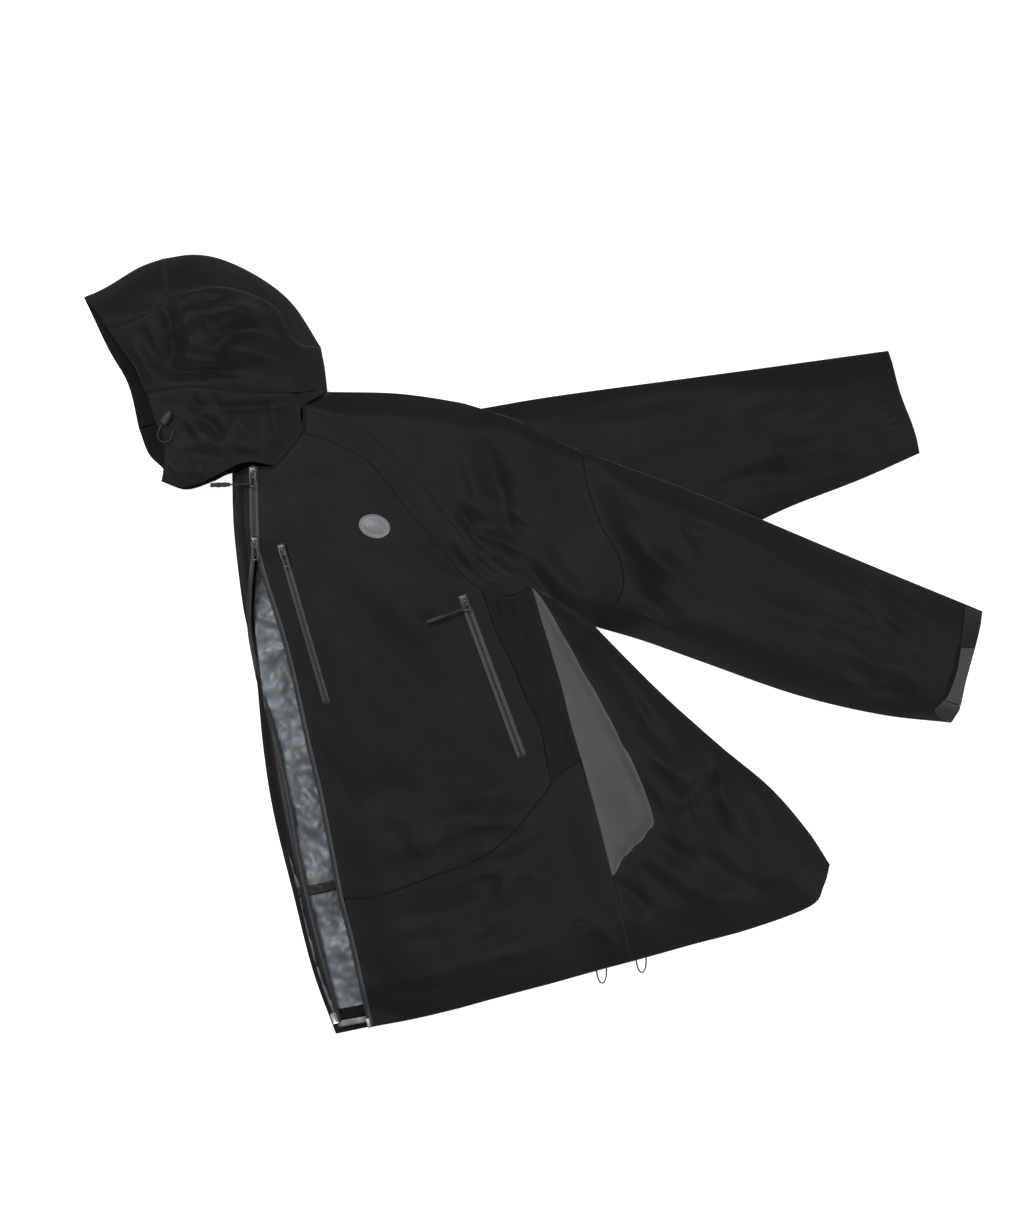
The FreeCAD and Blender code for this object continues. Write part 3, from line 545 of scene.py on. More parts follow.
def edge_rows(outline, offsets):
    """Rows of points that follow an outline at small distances inside it."""
    before, after = np.roll(outline, 1, axis=0), np.roll(outline, -1, axis=0)
    heading = after - before
    heading /= np.linalg.norm(heading, axis=1)[:, None] + 1e-12
    area = np.sum(outline[:, 0] * after[:, 1] - after[:, 0] * outline[:, 1])
    normal = np.column_stack([-heading[:, 1], heading[:, 0]]) * (1 if area > 0 else -1)
    rows = []
    for offset in offsets:
        row = outline + normal * offset
        keep = inside(row, outline) & (gap_to(row, ring(outline)) > offset * 0.93)
        rows.append(row[keep])
    return np.vstack(rows)


def cut_fine(outline, grain=GRAIN, rows=(0.0016, 0.0042)):
    """Fills an outline with triangles: rows that follow its edge, then an even grid inside them."""
    low, high = outline.min(0), outline.max(0)
    lines = []
    for index, height in enumerate(np.arange(low[1], high[1], grain * 0.866)):
        across = np.arange(low[0] + (index % 2) * grain / 2, high[0], grain)
        lines.append(np.column_stack([across, np.full(len(across), height)]))
    spots = np.vstack(lines)
    spots = spots[inside(spots, outline)]
    spots = spots[gap_to(spots, ring(outline)) > rows[-1] + grain * 0.5]
    points = np.vstack([outline, edge_rows(outline, rows), spots]) * 1000
    result = delaunay_2d_cdt([Vector(spot) for spot in points], [], [list(range(len(outline)))], 1, 1e-3)
    flat = np.array([tuple(spot) for spot in result[0]]) / 1000
    return flat, [list(face) for face in result[2]]


def thick_cloth(points, faces, gauge):
    """Gives a cloth its thickness: a lower copy along the normals, closed by a rim."""
    faces = np.array(faces)
    cross = np.cross(points[faces[:, 1]] - points[faces[:, 0]], points[faces[:, 2]] - points[faces[:, 0]])
    if cross[:, 2].sum() < 0:
        faces, cross = faces[:, ::-1], -cross
    normals = np.zeros_like(points)
    for corner in range(3):
        np.add.at(normals, faces[:, corner], cross)
    normals /= np.linalg.norm(normals, axis=1)[:, None] + 1e-15
    count = len(points)
    edges = {(int(a), int(b)) for face in faces for a, b in zip(face, np.roll(face, -1))}
    rim = [[b, a, a + count, b + count] for a, b in edges if (b, a) not in edges]
    rim.sort()
    area = float(np.linalg.norm(cross, axis=1).sum() / 2)
    skin = faces.tolist() + (faces[:, ::-1] + count).tolist() + rim
    return np.vstack([points, points - normals * gauge]), skin, area


def new_piece(name, corners, faces, material):
    """A piece from its corners and faces, at the origin."""
    mesh = bpy.data.meshes.new(name)
    mesh.from_pydata([tuple(map(float, corner)) for corner in corners], [], faces)
    mesh.materials.append(material)
    piece = bpy.data.objects.new(name, mesh)
    bpy.context.collection.objects.link(piece)
    return piece


def lay_pattern(mesh, pattern):
    """Writes the flat cut, in metres, as the UV map that the weave reads."""
    corners = np.empty(len(mesh.loops), np.int32)
    mesh.loops.foreach_get("vertex_index", corners)
    layer = mesh.uv_layers.new(name="pattern")
    layer.data.foreach_set("uv", pattern[corners].astype(np.float32).ravel())
    mesh.shade_smooth()


def hand_over(piece, body, nodes=()):
    """Hides the CAD pieces that a piece stands for and hangs the piece on the body it rides."""
    if nodes:
        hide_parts(*nodes)
    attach(piece, body)
    return piece


def make_cloth(name, flat, faces, levels, outline, material, gauge):
    """A closed cloth from a flat cut, lifted to its levels, with wear marked along its edge."""
    top = np.column_stack([flat, levels])
    points, skin, area = thick_cloth(top, faces, gauge)
    piece = new_piece(name, points, skin, material)
    lay_pattern(piece.data, np.vstack([flat, flat]))
    rubbed = bell(gap_to(flat, ring(outline)), 0.003)
    wear = piece.data.attributes.new("wear", "FLOAT", "POINT")
    wear.data.foreach_set("value", np.hstack([rubbed, rubbed]).astype(np.float32))
    SURFACES[name] = BVHTree.FromPolygons(top.tolist(), [list(face) for face in faces])
    return piece, area


def flat_area(outline):
    after = np.roll(outline, -1, axis=0)
    return abs(np.sum(outline[:, 0] * after[:, 1] - after[:, 0] * outline[:, 1])) / 2


def cut_size(outline):
    """Width and length of the smallest rectangle that a panel can be cut from, with a seam allowance."""
    best = None
    for angle in np.radians(np.arange(0, 90, 3)):
        turned = outline @ np.array([[math.cos(angle), -math.sin(angle)], [math.sin(angle), math.cos(angle)]])
        size = turned.max(0) - turned.min(0)
        if best is None or size[0] * size[1] < best[0] * best[1]:
            best = size
    width, length = sorted((float(best[0]) * 1.02, float(best[1]) * 1.02))
    return (max(min(width, flat_area(outline) / (0.5 * length)), 0.001), length)


def declare_cut(outline, draped):
    """Works out a sheet's cut size, grown so that its flat area is that of the draped cloth, because cloth
    does not stretch; the size is not kept.
    """
    width, length = cut_size(outline)
    grown = math.sqrt(draped / flat_area(outline)) * 1.01
    width * grown
    length * grown


def apply_all(piece):
    """Applies every modifier on a piece."""
    bpy.ops.object.select_all(action="DESELECT")
    bpy.context.view_layer.objects.active = piece
    piece.select_set(True)
    for modifier in list(piece.modifiers):
        bpy.ops.object.modifier_apply(modifier=modifier.name)
    piece.select_set(False)


def bake(piece):
    """Turns a cloth and its modifiers into one plain mesh, keeping its pattern and wear."""
    graph = bpy.context.evaluated_depsgraph_get()
    mesh = bpy.data.meshes.new_from_object(piece.evaluated_get(graph), preserve_all_data_layers=True,
                                           depsgraph=graph)
    old = piece.data
    piece.modifiers.clear()
    piece.data = mesh
    bpy.data.meshes.remove(old)
    mesh.name = piece.name


GAUGE = 0.0011


def sew(name, outline, level, nodes, material=SHELL, press=GAUGE, gauge=GAUGE,
        grain=GRAIN):
    """Cuts, drapes and thickens one panel, and hides the CAD pieces that it stands for."""
    flat, faces = cut_fine(outline, grain)
    levels = level(flat) - press * bell(gap_to(flat, ring(outline)), GAUGE)
    piece, draped = make_cloth(name, flat, faces, levels, outline, material, gauge)
    declare_cut(outline, draped)
    return hand_over(piece, "jacket", nodes)


def above(level, lift):
    """The same lie of the cloth, a little higher."""
    return lambda spots: level(spots) + lift


def at_level(names, x, y, fallback=0.044):
    """The level of the cloth at a place, the highest of the named panels."""
    best = None
    for name in names:
        hit = SURFACES[name].ray_cast(Vector((x, y, 0.2)), Vector((0, 0, -1)))
        if hit[0] is not None and (best is None or hit[0].z > best):
            best = hit[0].z
    return fallback if best is None else best


# %% [markdown]
# ## Cords and their grips
# The zip pulls carry a thin doubled cord that ends in a moulded grip, the hood has a short cord
# through its lock, and two elastic loops hang from the hem. They are thin and limp, so each is a
# smooth line through a few points, and it keeps its length when the slider moves.

# %% Cords
MM = 0.001
CORD_THICK = 1.8 * MM


def cord_curve(name, route):
    """A smooth curve that starts at the route's first place and ends at its last."""
    shape = bpy.data.curves.new(name, "CURVE")
    shape.dimensions = "3D"
    shape.resolution_u = 12
    spline = shape.splines.new("NURBS")
    spline.points.add(len(route) - 1)
    for point, spot in zip(spline.points, route):
        point.co = (*spot, 1.0)
    spline.order_u = 3
    spline.use_endpoint_u = True
    return bpy.data.objects.new(name, shape)


def cord_length(route):
    """The length of a cord's middle line, measured on a bare curve."""
    probe = cord_curve("measure", route)
    mesh = bpy.data.meshes.new_from_object(probe)
    path = np.array([vertex.co[:] for vertex in mesh.vertices])
    bpy.data.objects.remove(probe)
    bpy.data.meshes.remove(mesh)
    return float(np.linalg.norm(np.diff(path, axis=0), axis=1).sum())


def cord_line(name, route, body, nodes):
    """A round limp cord along a route, from its exit to a far end that stays on the object."""
    length = cord_length(route)
    piece = cord_curve(name, route)
    bpy.context.collection.objects.link(piece)
    piece.data.bevel_depth = CORD_THICK / 2
    piece.data.bevel_resolution = 3
    piece.data.use_fill_caps = True
    piece.data.materials.append(CORD)
    print("%s is %.1f mm long" % (name, length * 1000))
    return hand_over(piece, body, nodes)


def route_mm(points):
    return [tuple(value * MM for value in point) for point in points]


def zip_frame(spot, along):
    """A zip's own axes at a slider: x runs down the zip, y across it, z up."""
    down = Vector((*along, 0)).normalized()
    side = Vector((-down.y, down.x, 0))
    return Matrix((
        (down.x, side.x, 0, spot[0] / 1000), (down.y, side.y, 0, spot[1] / 1000),
        (0, 0, 1, 0.0448), (0, 0, 0, 1)))


MAIN_PLACE = zip_frame((-336.9, 206), (0.0294, -0.99957))
LOWER_PLACE = zip_frame((-334.6, 122), (0.0526, -0.99861))
HAND_PLACE = zip_frame((-83.2, 52.5), (0.3464, -0.9381))
CHEST_PLACE = zip_frame((-301.8, 113.3), (0.2754, -0.9613))
PULL_ROUTE = ((-28, 6.5), (-12, 7.4), (-3.6, 7.6), (-0.6, 6.4), (-0.6, 4.0), (-3.6, 2.8), (-12, 3.0),
              (-28, 3.9))

# %% Grips and pull cords
def new_block(name, size, centre):
    """A box with its size and place in its mesh, ready for edit mode."""
    bpy.ops.object.select_all(action="DESELECT")
    bpy.ops.mesh.primitive_cube_add(size=1, location=centre)
    piece = bpy.context.object
    piece.name = piece.data.name = name
    piece.scale = size
    bpy.ops.object.transform_apply(location=True, rotation=True, scale=True)
    return piece


def new_barrel(name, radius, length, centre, axis, sides=24):
    """A cylinder along an axis, its place in its mesh."""
    bpy.ops.object.select_all(action="DESELECT")
    bpy.ops.mesh.primitive_cylinder_add(vertices=sides, radius=radius, depth=length)
    piece = bpy.context.object
    piece.name = piece.data.name = name
    turn = Vector(axis).to_track_quat("Z", "Y").to_matrix().to_4x4()
    piece.data.transform(Matrix.Translation(Vector(centre)) @ turn)
    return piece


def pick_faces(piece, wanted):
    """Enters edit mode with only the wanted faces selected."""
    bpy.ops.object.select_all(action="DESELECT")
    bpy.context.view_layer.objects.active = piece
    piece.select_set(True)
    bpy.ops.object.mode_set(mode="EDIT")
    bpy.ops.mesh.select_mode(type="FACE")
    bpy.ops.mesh.select_all(action="DESELECT")
    shape = bmesh.from_edit_mesh(piece.data)
    for face in shape.faces:
        face.select_set(wanted(face.calc_center_median(), face.normal))
    bmesh.update_edit_mesh(piece.data)


def leave_edit():
    bpy.ops.object.mode_set(mode="OBJECT")


def soften(piece, width, segments=3, angle=35):
    """Bevels the sharp edges and shades the piece smooth."""
    bevel = piece.modifiers.new("soft_edges", "BEVEL")
    bevel.width = width
    bevel.segments = segments
    bevel.limit_method = "ANGLE"
    bevel.angle_limit = math.radians(angle)
    apply_all(piece)
    piece.select_set(True)
    bpy.ops.object.shade_smooth_by_angle(angle=math.radians(40))
    piece.select_set(False)


def merge(name, pieces):
    bpy.ops.object.select_all(action="DESELECT")
    for piece in pieces:
        piece.select_set(True)
    bpy.context.view_layer.objects.active = pieces[0]
    if len(pieces) > 1:
        bpy.ops.object.join()
    whole = bpy.context.object
    whole.name = whole.data.name = name
    whole.select_set(False)
    return whole


def placed(piece, place, material, body, nodes=()):
    """Moves a piece modelled in a zip's own axes to its zip, and finishes and rides it."""
    piece.data.transform(place)
    piece.data.materials.clear()
    piece.data.materials.append(material)
    return hand_over(piece, body, nodes)


def make_grip(name, place, along, body, nodes):
    """A moulded grip: a flat rod, narrow at the cord, with three finger grooves."""
    start, length, radius = -28 * MM, 23 * MM, 3 * MM
    grip = new_barrel(name, radius, length, (along, start - length / 2, 5.2 * MM), (0, -1, 0), 20)
    pick_faces(grip, lambda spot, normal: normal.y > 0.9)
    bpy.ops.mesh.inset(thickness=0.7 * MM, depth=0)
    bpy.ops.transform.translate(value=(0, 0.8 * MM, 0))
    leave_edit()
    pick_faces(grip, lambda spot, normal: abs(normal.y) < 0.5)
    bpy.ops.mesh.subdivide(number_cuts=1)
    leave_edit()
    bands = bmesh.new()
    bands.from_mesh(grip.data)
    for share in np.linspace(0.12, 0.88, 14):
        level = start - length * share
        bmesh.ops.bisect_plane(bands, geom=bands.verts[:] + bands.edges[:] + bands.faces[:],
                               plane_co=(0, level, 0), plane_no=(0, 1, 0))
    for vertex in bands.verts:
        share = (start - vertex.co.y) / length
        groove = 1 - 0.16 * max(0.0, math.sin(share * 6 * math.pi)) * (0.1 < share < 0.9)
        swell = (0.72 + 0.28 * math.sin(math.pi * min(max(share * 0.8 + 0.12, 0), 1))) * groove
        vertex.co.x = along + (vertex.co.x - along) * swell
        vertex.co.z = 5.2 * MM + (vertex.co.z - 5.2 * MM) * swell * 0.86
    bands.to_mesh(grip.data)
    bands.free()
    soften(grip, 0.5 * MM, 2, 50)
    return placed(grip, place, GRIP, body, nodes)


for label, place, along, body in (("main", MAIN_PLACE, 13.5, "upper_pull"),
                                  ("hand", HAND_PLACE, 8.5, "hand_zip_pull")):
    grip = make_grip(label + "_zip_grip", place, along * MM, body, [label + "_pull_grip"])
    route = [tuple(place @ Vector((along * MM, side * MM, up * MM))) for side, up in PULL_ROUTE]
    cord_line(label + "_zip_cord", route, body, [label + "_pull_cord"])

HEM_LOOPS = (
    ("front", ((76, -392, 3.6), (77, -404, 3.4), (83, -412, 2.4), (89, -403, 3.4), (88, -389, 3.6))),
    ("side", ((124, -379, 3.6), (125, -391, 3.4), (131, -399, 2.4), (137, -390, 3.4), (136, -376, 3.6))),
)
for label, points in HEM_LOOPS:
    cord_line("hem_loop_" + label, route_mm(points), "jacket", ["hem_cord_loop_" + label])
HOOD_ROUTE = ((-443.8, 264.2, 65.4), (-448.8, 256.7, 63.4), (-450, 245, 61.6), (-440, 241, 61.5),
              (-432, 247, 61.6), (-431, 257, 61.5))
cord_line("hood_draw_cord", route_mm(HOOD_ROUTE), "jacket", ["hood_cord"])

# %% [markdown]
# ## Body panels
# The front is cut into the same panels as the real jacket: two fronts beside the zip, a lower front
# under an overlapping edge, a side panel, a knitted vent, a back side panel, a yoke band and the
# shoulder. The overlay is sewn over the lower front, so the lower front goes on under it.

# %% Body panels
def offset_run(run, distance):
    """The run moved sideways: positive is to its left."""
    heading = np.gradient(run, axis=0)
    heading /= np.linalg.norm(heading, axis=1)[:, None] + 1e-12
    return run + np.column_stack([-heading[:, 1], heading[:, 0]]) * distance


OPENING_ALL = np.vstack([OPEN_RIGHT_UPPER, OPEN_RIGHT_LOWER])


def front_level(spots):
    """The body's level, settled lower beside the open zip where nothing lies under it."""
    level = body_level(spots)
    gap = gap_to(spots, OPENING_ALL)
    open_share = ease(0.090 - spots[:, 1], 0, 0.16)
    level -= 0.017 * open_share * bell(gap, 0.055)
    return np.maximum(level, 0.012)


def gathered(spots):
    """Small puckers where the overlay's edge is drawn in by elastic."""
    gap, share = nearest(spots, OVERLAY_FRONT)
    ripple = np.sin(share * 2 * math.pi * 34 + 1.2 * np.sin(share * 40))
    return 0.0011 * ripple * bell(gap, 0.011) * ease(share, 0.35, 0.7) * (1 - ease(share, 0.93, 1.0))


def overlay_level(spots):
    return front_level(spots) + gathered(spots) + 0.0012 * bell(gap_to(spots, OVERLAY_FRONT), 0.02)


def lower_level(spots):
    gap = np.minimum(gap_to(spots, OVERLAY_FRONT), gap_to(spots, OVERLAY_SIDE))
    return front_level(spots) - 0.0024 * bell(gap, 0.028)


def vent_level(spots):
    gap = np.minimum(gap_to(spots, VENT_RIGHT),
                     np.minimum(gap_to(spots, VENT_LEFT_UPPER), gap_to(spots, VENT_LEFT_LOWER)))
    return front_level(spots) - 0.0060 * ease(gap, 0.0, 0.010) + crumple(spots, 0.014, 0.0016, 21.0, -60, 2.5)


def right_level(spots):
    """The right front lies flatter, because only the lining is under it, and stays off the floor."""
    level = front_level(spots) - 0.012 * ease(0.05 - spots[:, 1], 0, 0.12)
    return np.maximum(level, 0.0050 - 0.44 * (0.0050 - level))


# %% [markdown]
# ## Sliders, pulls and small fittings
# A slider is a tapered plate over two flanges, with a bridge for the pull's pin. Sliders and pulls
# start as boxes that are shaped by taper, inset and bevel in the zip's own axes, and are then laid
# in place. The badge is a plain oval with a raised rim.

# %% Sliders and pulls
def own_copy(piece, name):
    """A copy of a finished shape with a mesh of its own."""
    copy = piece.copy()
    copy.data = piece.data.copy()
    copy.name = copy.data.name = name
    bpy.context.collection.objects.link(copy)
    return copy


def slider_shape(name):
    plate = new_block(name, (14 * MM, 10 * MM, 1.6 * MM), (0, 0, 3.0 * MM))
    pick_faces(plate, lambda spot, normal: normal.x > 0.9)
    bpy.ops.transform.resize(value=(1, 0.62, 1), center_override=(7 * MM, 0, 0))
    bpy.ops.mesh.extrude_region_move(TRANSFORM_OT_translate={"value": (0.9 * MM, 0, 0)})
    bpy.ops.transform.resize(value=(1, 0.7, 0.8), center_override=(7.9 * MM, 0, 3.0 * MM))
    leave_edit()
    pick_faces(plate, lambda spot, normal: normal.z > 0.9)
    bpy.ops.mesh.inset(thickness=1.1 * MM, depth=0)
    bpy.ops.transform.translate(value=(0, 0, 0.5 * MM))
    leave_edit()
    parts = [plate]
    for side in (-1, 1):
        flange = new_block(name + "_flange", (13 * MM, 1.5 * MM, 2.0 * MM), (0, side * 4.3 * MM, 1.5 * MM))
        pick_faces(flange, lambda spot, normal: abs(normal.x) > 0.9)
        bpy.ops.transform.resize(value=(1, 0.7, 0.7), center_override=(0, side * 4.3 * MM, 2.0 * MM))
        leave_edit()
        parts.append(flange)
    arch = new_block(name + "_bridge", (7.6 * MM, 2.4 * MM, 3.4 * MM), (0, 0, 5.4 * MM))
    pick_faces(arch, lambda spot, normal: normal.z > 0.9)
    bpy.ops.transform.resize(value=(0.62, 0.8, 1), center_override=(0, 0, 7.1 * MM))
    leave_edit()
    parts.append(arch)
    slider = merge(name, parts)
    soften(slider, 0.45 * MM, 3, 30)
    return slider


def pull_shape(name, reach):
    """A stirrup pull: two arms from the pin, closed by a round bow that takes the cord."""
    height, half = 5.2 * MM, 4 * MM
    pin = new_barrel(name + "_pin", 0.8 * MM, 8 * MM, (0, 0, height), (0, 1, 0), 16)
    bow = new_block(name, (1.5 * MM, 8 * MM, 1.5 * MM), ((reach - 1.5) * MM, 0, height))
    parts = [pin]
    for side in (-1, 1):
        arm = new_block(name + "_arm", ((reach - 1) * MM, 1.5 * MM, 1.5 * MM),
                        ((reach - 2) / 2 * MM, side * (half - 0.75 * MM), height))
        pick_faces(arm, lambda spot, normal: normal.x > 0.9)
        bpy.ops.transform.translate(value=(0, -side * 0.7 * MM, 0))
        leave_edit()
        parts.append(arm)
    pick_faces(bow, lambda spot, normal: abs(normal.y) > 0.9)
    bpy.ops.transform.resize(value=(1, 0.8, 1), center_override=((reach - 1.5) * MM, 0, height))
    leave_edit()
    parts.append(bow)
    pull = merge(name, parts)
    soften(pull, 0.4 * MM, 3, 30)
    return pull


LONG_PULL = 22
SLIDER_SHAPE, PULL_SHAPE = slider_shape("slider_shape"), pull_shape("pull_shape", LONG_PULL)
for label, place, reach, nodes, bodies in (
        ("main_upper", MAIN_PLACE, 18, ("main_slider_upper", "main_pull_upper"),
         ("upper_slider", "upper_pull")),
        ("main_lower", LOWER_PLACE, 22, ("main_slider_lower", "main_pull_lower"),
         ("lower_slider", "lower_pull")),
        ("chest", CHEST_PLACE, 22, ("chest_slider", "chest_pull"), ("chest_zip_slider", "chest_zip_pull")),
        ("hand", HAND_PLACE, 13, ("hand_slider", "hand_pull"), ("hand_zip_slider", "hand_zip_pull"))):
    placed(own_copy(SLIDER_SHAPE, label + "_zip_slider"), place, SLIDER, bodies[0], nodes[:1])
    pull = own_copy(PULL_SHAPE, label + "_zip_pull")
    for vertex in pull.data.vertices:
        if vertex.co.x > LONG_PULL / 2 * MM:
            vertex.co.x += (reach - LONG_PULL) * MM
    placed(pull, place, SLIDER, bodies[1], nodes[1:])
bpy.data.objects.remove(SLIDER_SHAPE)
bpy.data.objects.remove(PULL_SHAPE)

# %% Zip ends, badge and studs
def turned_to(heading, x, y, z):
    return Matrix.Translation((x, y, z)) @ Matrix.Rotation(heading, 4, "Z")


end_pin = new_block("zip_end_pin", (12 * MM, 4.6 * MM, 2.4 * MM), (0, 0, 0))
pick_faces(end_pin, lambda spot, normal: normal.x > 0.9)
bpy.ops.transform.resize(value=(1, 0.6, 0.8), center_override=(6 * MM, 0, 0))
leave_edit()
soften(end_pin, 0.6 * MM)
heading = math.atan2(-9, 2)
END_LIFT = 1.6 * MM
level = float(overlay_level(line((-201, -456)))[0])
placed(end_pin, turned_to(heading, -0.1995, -0.4575, level + END_LIFT), BRIGHT, "jacket",
       ["zip_insert_pin"])
end_box = new_block("zip_end_box", (13 * MM, 7 * MM, 3.0 * MM), (0, 0, 0))
pick_faces(end_box, lambda spot, normal: normal.z > 0.9)
bpy.ops.mesh.inset(thickness=1.2 * MM, depth=0)
bpy.ops.transform.translate(value=(0, 0, -0.8 * MM))
leave_edit()
soften(end_box, 0.5 * MM)
level = float(right_level(line((-238, -450)))[0])
placed(end_box, turned_to(math.atan2(-12, 4), -0.2405, -0.4520, level + END_LIFT), BRIGHT,
       "jacket", ["zip_retainer_box"])

bpy.ops.object.select_all(action="DESELECT")
bpy.ops.mesh.primitive_cylinder_add(vertices=64, radius=1, depth=1.1 * MM)
badge = bpy.context.object
badge.scale = (19 * MM, 14 * MM, 1)
bpy.ops.object.transform_apply(scale=True)
pick_faces(badge, lambda spot, normal: normal.z > 0.9)
bpy.ops.mesh.inset(thickness=0.9 * MM, depth=0)
bpy.ops.mesh.inset(thickness=0.8 * MM, depth=-0.5 * MM)
bpy.ops.mesh.inset(thickness=4.0 * MM, depth=0)
bpy.ops.mesh.inset(thickness=0.8 * MM, depth=0.45 * MM)
leave_edit()
soften(badge, 0.22 * MM, 2, 30)
level = float(overlay_level(line((-191, 142)))[0])
badge.name = "chest_emblem"
placed(badge, turned_to(math.radians(-15), -0.191, 0.142, level + 0.7 * MM), BADGE, "jacket",
       ["chest_badge"])

studs = []
for x, y in ((0.056, -0.334), (-0.106, -0.371)):
    level = float(lower_level(np.array([[x, y]]))[0])
    bpy.ops.object.select_all(action="DESELECT")
    bpy.ops.mesh.primitive_cylinder_add(vertices=40, radius=7 * MM, depth=1.2 * MM,
                                        location=(x, y, level + 0.0002))
    stud = bpy.context.object
    bpy.ops.object.transform_apply(location=True)
    pick_faces(stud, lambda spot, normal: normal.z > 0.9)
    bpy.ops.mesh.inset(thickness=1.6 * MM, depth=0.5 * MM)
    bpy.ops.mesh.inset(thickness=1.8 * MM, depth=-0.4 * MM)
    leave_edit()
    studs.append(stud)
studs = merge("hem_studs", studs)
soften(studs, 0.5 * MM, 3, 20)
placed(studs, Matrix(), SHELL, "jacket", ["hem_snaps"])

# %% Hood cord lock
LOCK_AXIS = Vector((-0.5524, -0.8336, 0)).normalized()
LOCK_TOP = Vector((-0.436, 0.276, 0.0654))
barrel = new_barrel("hood_toggle", 5 * MM, 14 * MM, LOCK_TOP + LOCK_AXIS * 7 * MM, LOCK_AXIS, 32)
pick_faces(barrel, lambda spot, normal: normal.dot(LOCK_AXIS) > 0.9)
bpy.ops.mesh.inset(thickness=1.0 * MM, depth=-0.6 * MM)
leave_edit()
pick_faces(barrel, lambda spot, normal: normal.dot(LOCK_AXIS) < -0.9)
bpy.ops.mesh.inset(thickness=1.6 * MM, depth=-1.2 * MM)
leave_edit()
soften(barrel, 0.5 * MM)
placed(barrel, Matrix(), GRIP, "jacket", ["hood_cord_lock"])
button = new_barrel("hood_toggle_button", 3 * MM, 7 * MM, LOCK_TOP + LOCK_AXIS * 0.6 * MM, LOCK_AXIS, 28)
pick_faces(button, lambda spot, normal: normal.dot(LOCK_AXIS) < -0.9)
bpy.ops.mesh.inset(thickness=0.8 * MM, depth=0.4 * MM)
leave_edit()
soften(button, 0.35 * MM)
placed(button, Matrix(), GRIP, "lock_button", ["hood_lock_button"])

# %% Sew the body
def side_level(spots):
    return front_level(spots) + 0.0010 + 0.5 * creases(spots, 0.018, 0.010, 29.0, -68, 3.5)


def yoke_level(spots):
    return front_level(spots) + 0.0026 * bell(gap_to(spots, YOKE_LOW), 0.014)


sew("front_left", loop(ZIP_CLOSED, OPEN_RIGHT_UPPER, OVERLAY_FRONT, SIDE_SEAM[::-1], YOKE_LOW[::-1], NECK),
    overlay_level, ["front_panel_left"])
under_front = offset_run(OVERLAY_FRONT, 0.010)
under_side = offset_run(OVERLAY_SIDE, 0.008)
sew("lower_front_left", loop(OPEN_RIGHT_LOWER[::-1], under_front[1:-1], under_side[1:-1], VENT_LEFT_LOWER,
                             LOW_SEAM, HEM_FRONT[::-1]), lower_level, ["lower_front_panel_left"])
sew("side_left", loop(YOKE_TAIL, VENT_LEFT_UPPER, OVERLAY_SIDE[::-1], SIDE_SEAM[::-1]),
    side_level, ["side_panel_left"], SHELL_WARM)
sew("vent_knit",
    loop(offset_run(VENT_LEFT_UPPER, -0.003), VENT_LEFT_LOWER, offset_run(VENT_RIGHT, 0.003)[::-1]),
    vent_level, ["vent_gusset"], GUSSET)
sew("back_side", loop(ARMPIT, RIGHT_EDGE[::-1], HEM_BACK[::-1], LOW_SEAM[::-1], VENT_RIGHT[::-1]),
    front_level, ["back_side_panel"])
sew("yoke_band", loop(offset_run(YOKE_LOW, -0.002), YOKE_TAIL, YOKE_UP[::-1]), yoke_level, ["yoke_band_left"])
sew("shoulder_left", loop(YOKE_UP, ARMPIT, ARM_SEAM[::-1], SHOULDER_TOP, SHOULDER),
    front_level, ["shoulder_panel_left"])
sew("front_right", loop(ZIP_CLOSED, OPEN_LEFT_UPPER, FACING_EDGE, LEFT_EDGE[::-1]),
    right_level, ["front_panel_right"])
sew("front_right_facing", loop(FACING_EDGE, OPEN_LEFT_LOWER[::-1]),
    above(right_level, -0.0006), ["right_front_facing"], FACING)
print(len(SURFACES), "body panels")

# %% [markdown]
# ## Back and lining
# Under the front lies the back cloth, flat on the floor with its edges turned up into the side
# folds. Through the open zip one sees the silver lining, which lies slack and is full of creases.

# %% Back and lining
def back_level(spots):
    gap = np.minimum(gap_to(spots, LEFT_EDGE), np.minimum(gap_to(spots, RIGHT_EDGE), gap_to(spots, SHOULDER)))
    return 0.0022 + 0.0040 * bell(gap, 0.012)


def lining_level(spots):
    """Slack cloth: broad creases along the opening and short ones across it."""
    left = gap_to(spots, LEFT_EDGE)
    level = 0.0085 + crumple(spots, 0.026, 0.0060, 31.0, -75, 2.2)
    level += crumple(spots, 0.011, 0.0026, 37.0, -20, 1.8)
    level += 0.0016 * np.abs(crumple(spots, 0.008, 1.0, 41.0, 60, 2.0))
    return np.clip(level, 0.0035, 0.017) - 0.0035 * bell(left, 0.012)


HIDDEN_SHOULDER = curve((75, 21), (20, 75), (-30, 110), (-45, 179), (-35, 250), (-64, 285))
HIDDEN_NECK = curve((-249, 305), (-277, 250), (-309, 214), (-364, 207))
LINING_LEFT = curve((-333, 110), (-338, 47), (-336, 13), (-330, -39), (-319, -124), (-307, -206),
                    (-284, -304), (-262, -394), (-236, -463))
LINING_HEM = curve((-236, -463), (-199, -456), (-160, -448))
LINING_RIGHT = curve((-160, -448), (-190, -330), (-215, -200), (-240, -60), (-290, 60), (-318, 112))
sew("back_cloth", loop(LEFT_EDGE, HEM_FRONT, HEM_BACK, RIGHT_EDGE, HIDDEN_SHOULDER, SHOULDER, HIDDEN_NECK),
    back_level, ["back_panel"], grain=0.009)
sew("silver_lining_cloth", loop(LINING_LEFT, LINING_HEM, LINING_RIGHT), lining_level, ["body_lining"], SILVER,
    grain=0.0028, press=0)


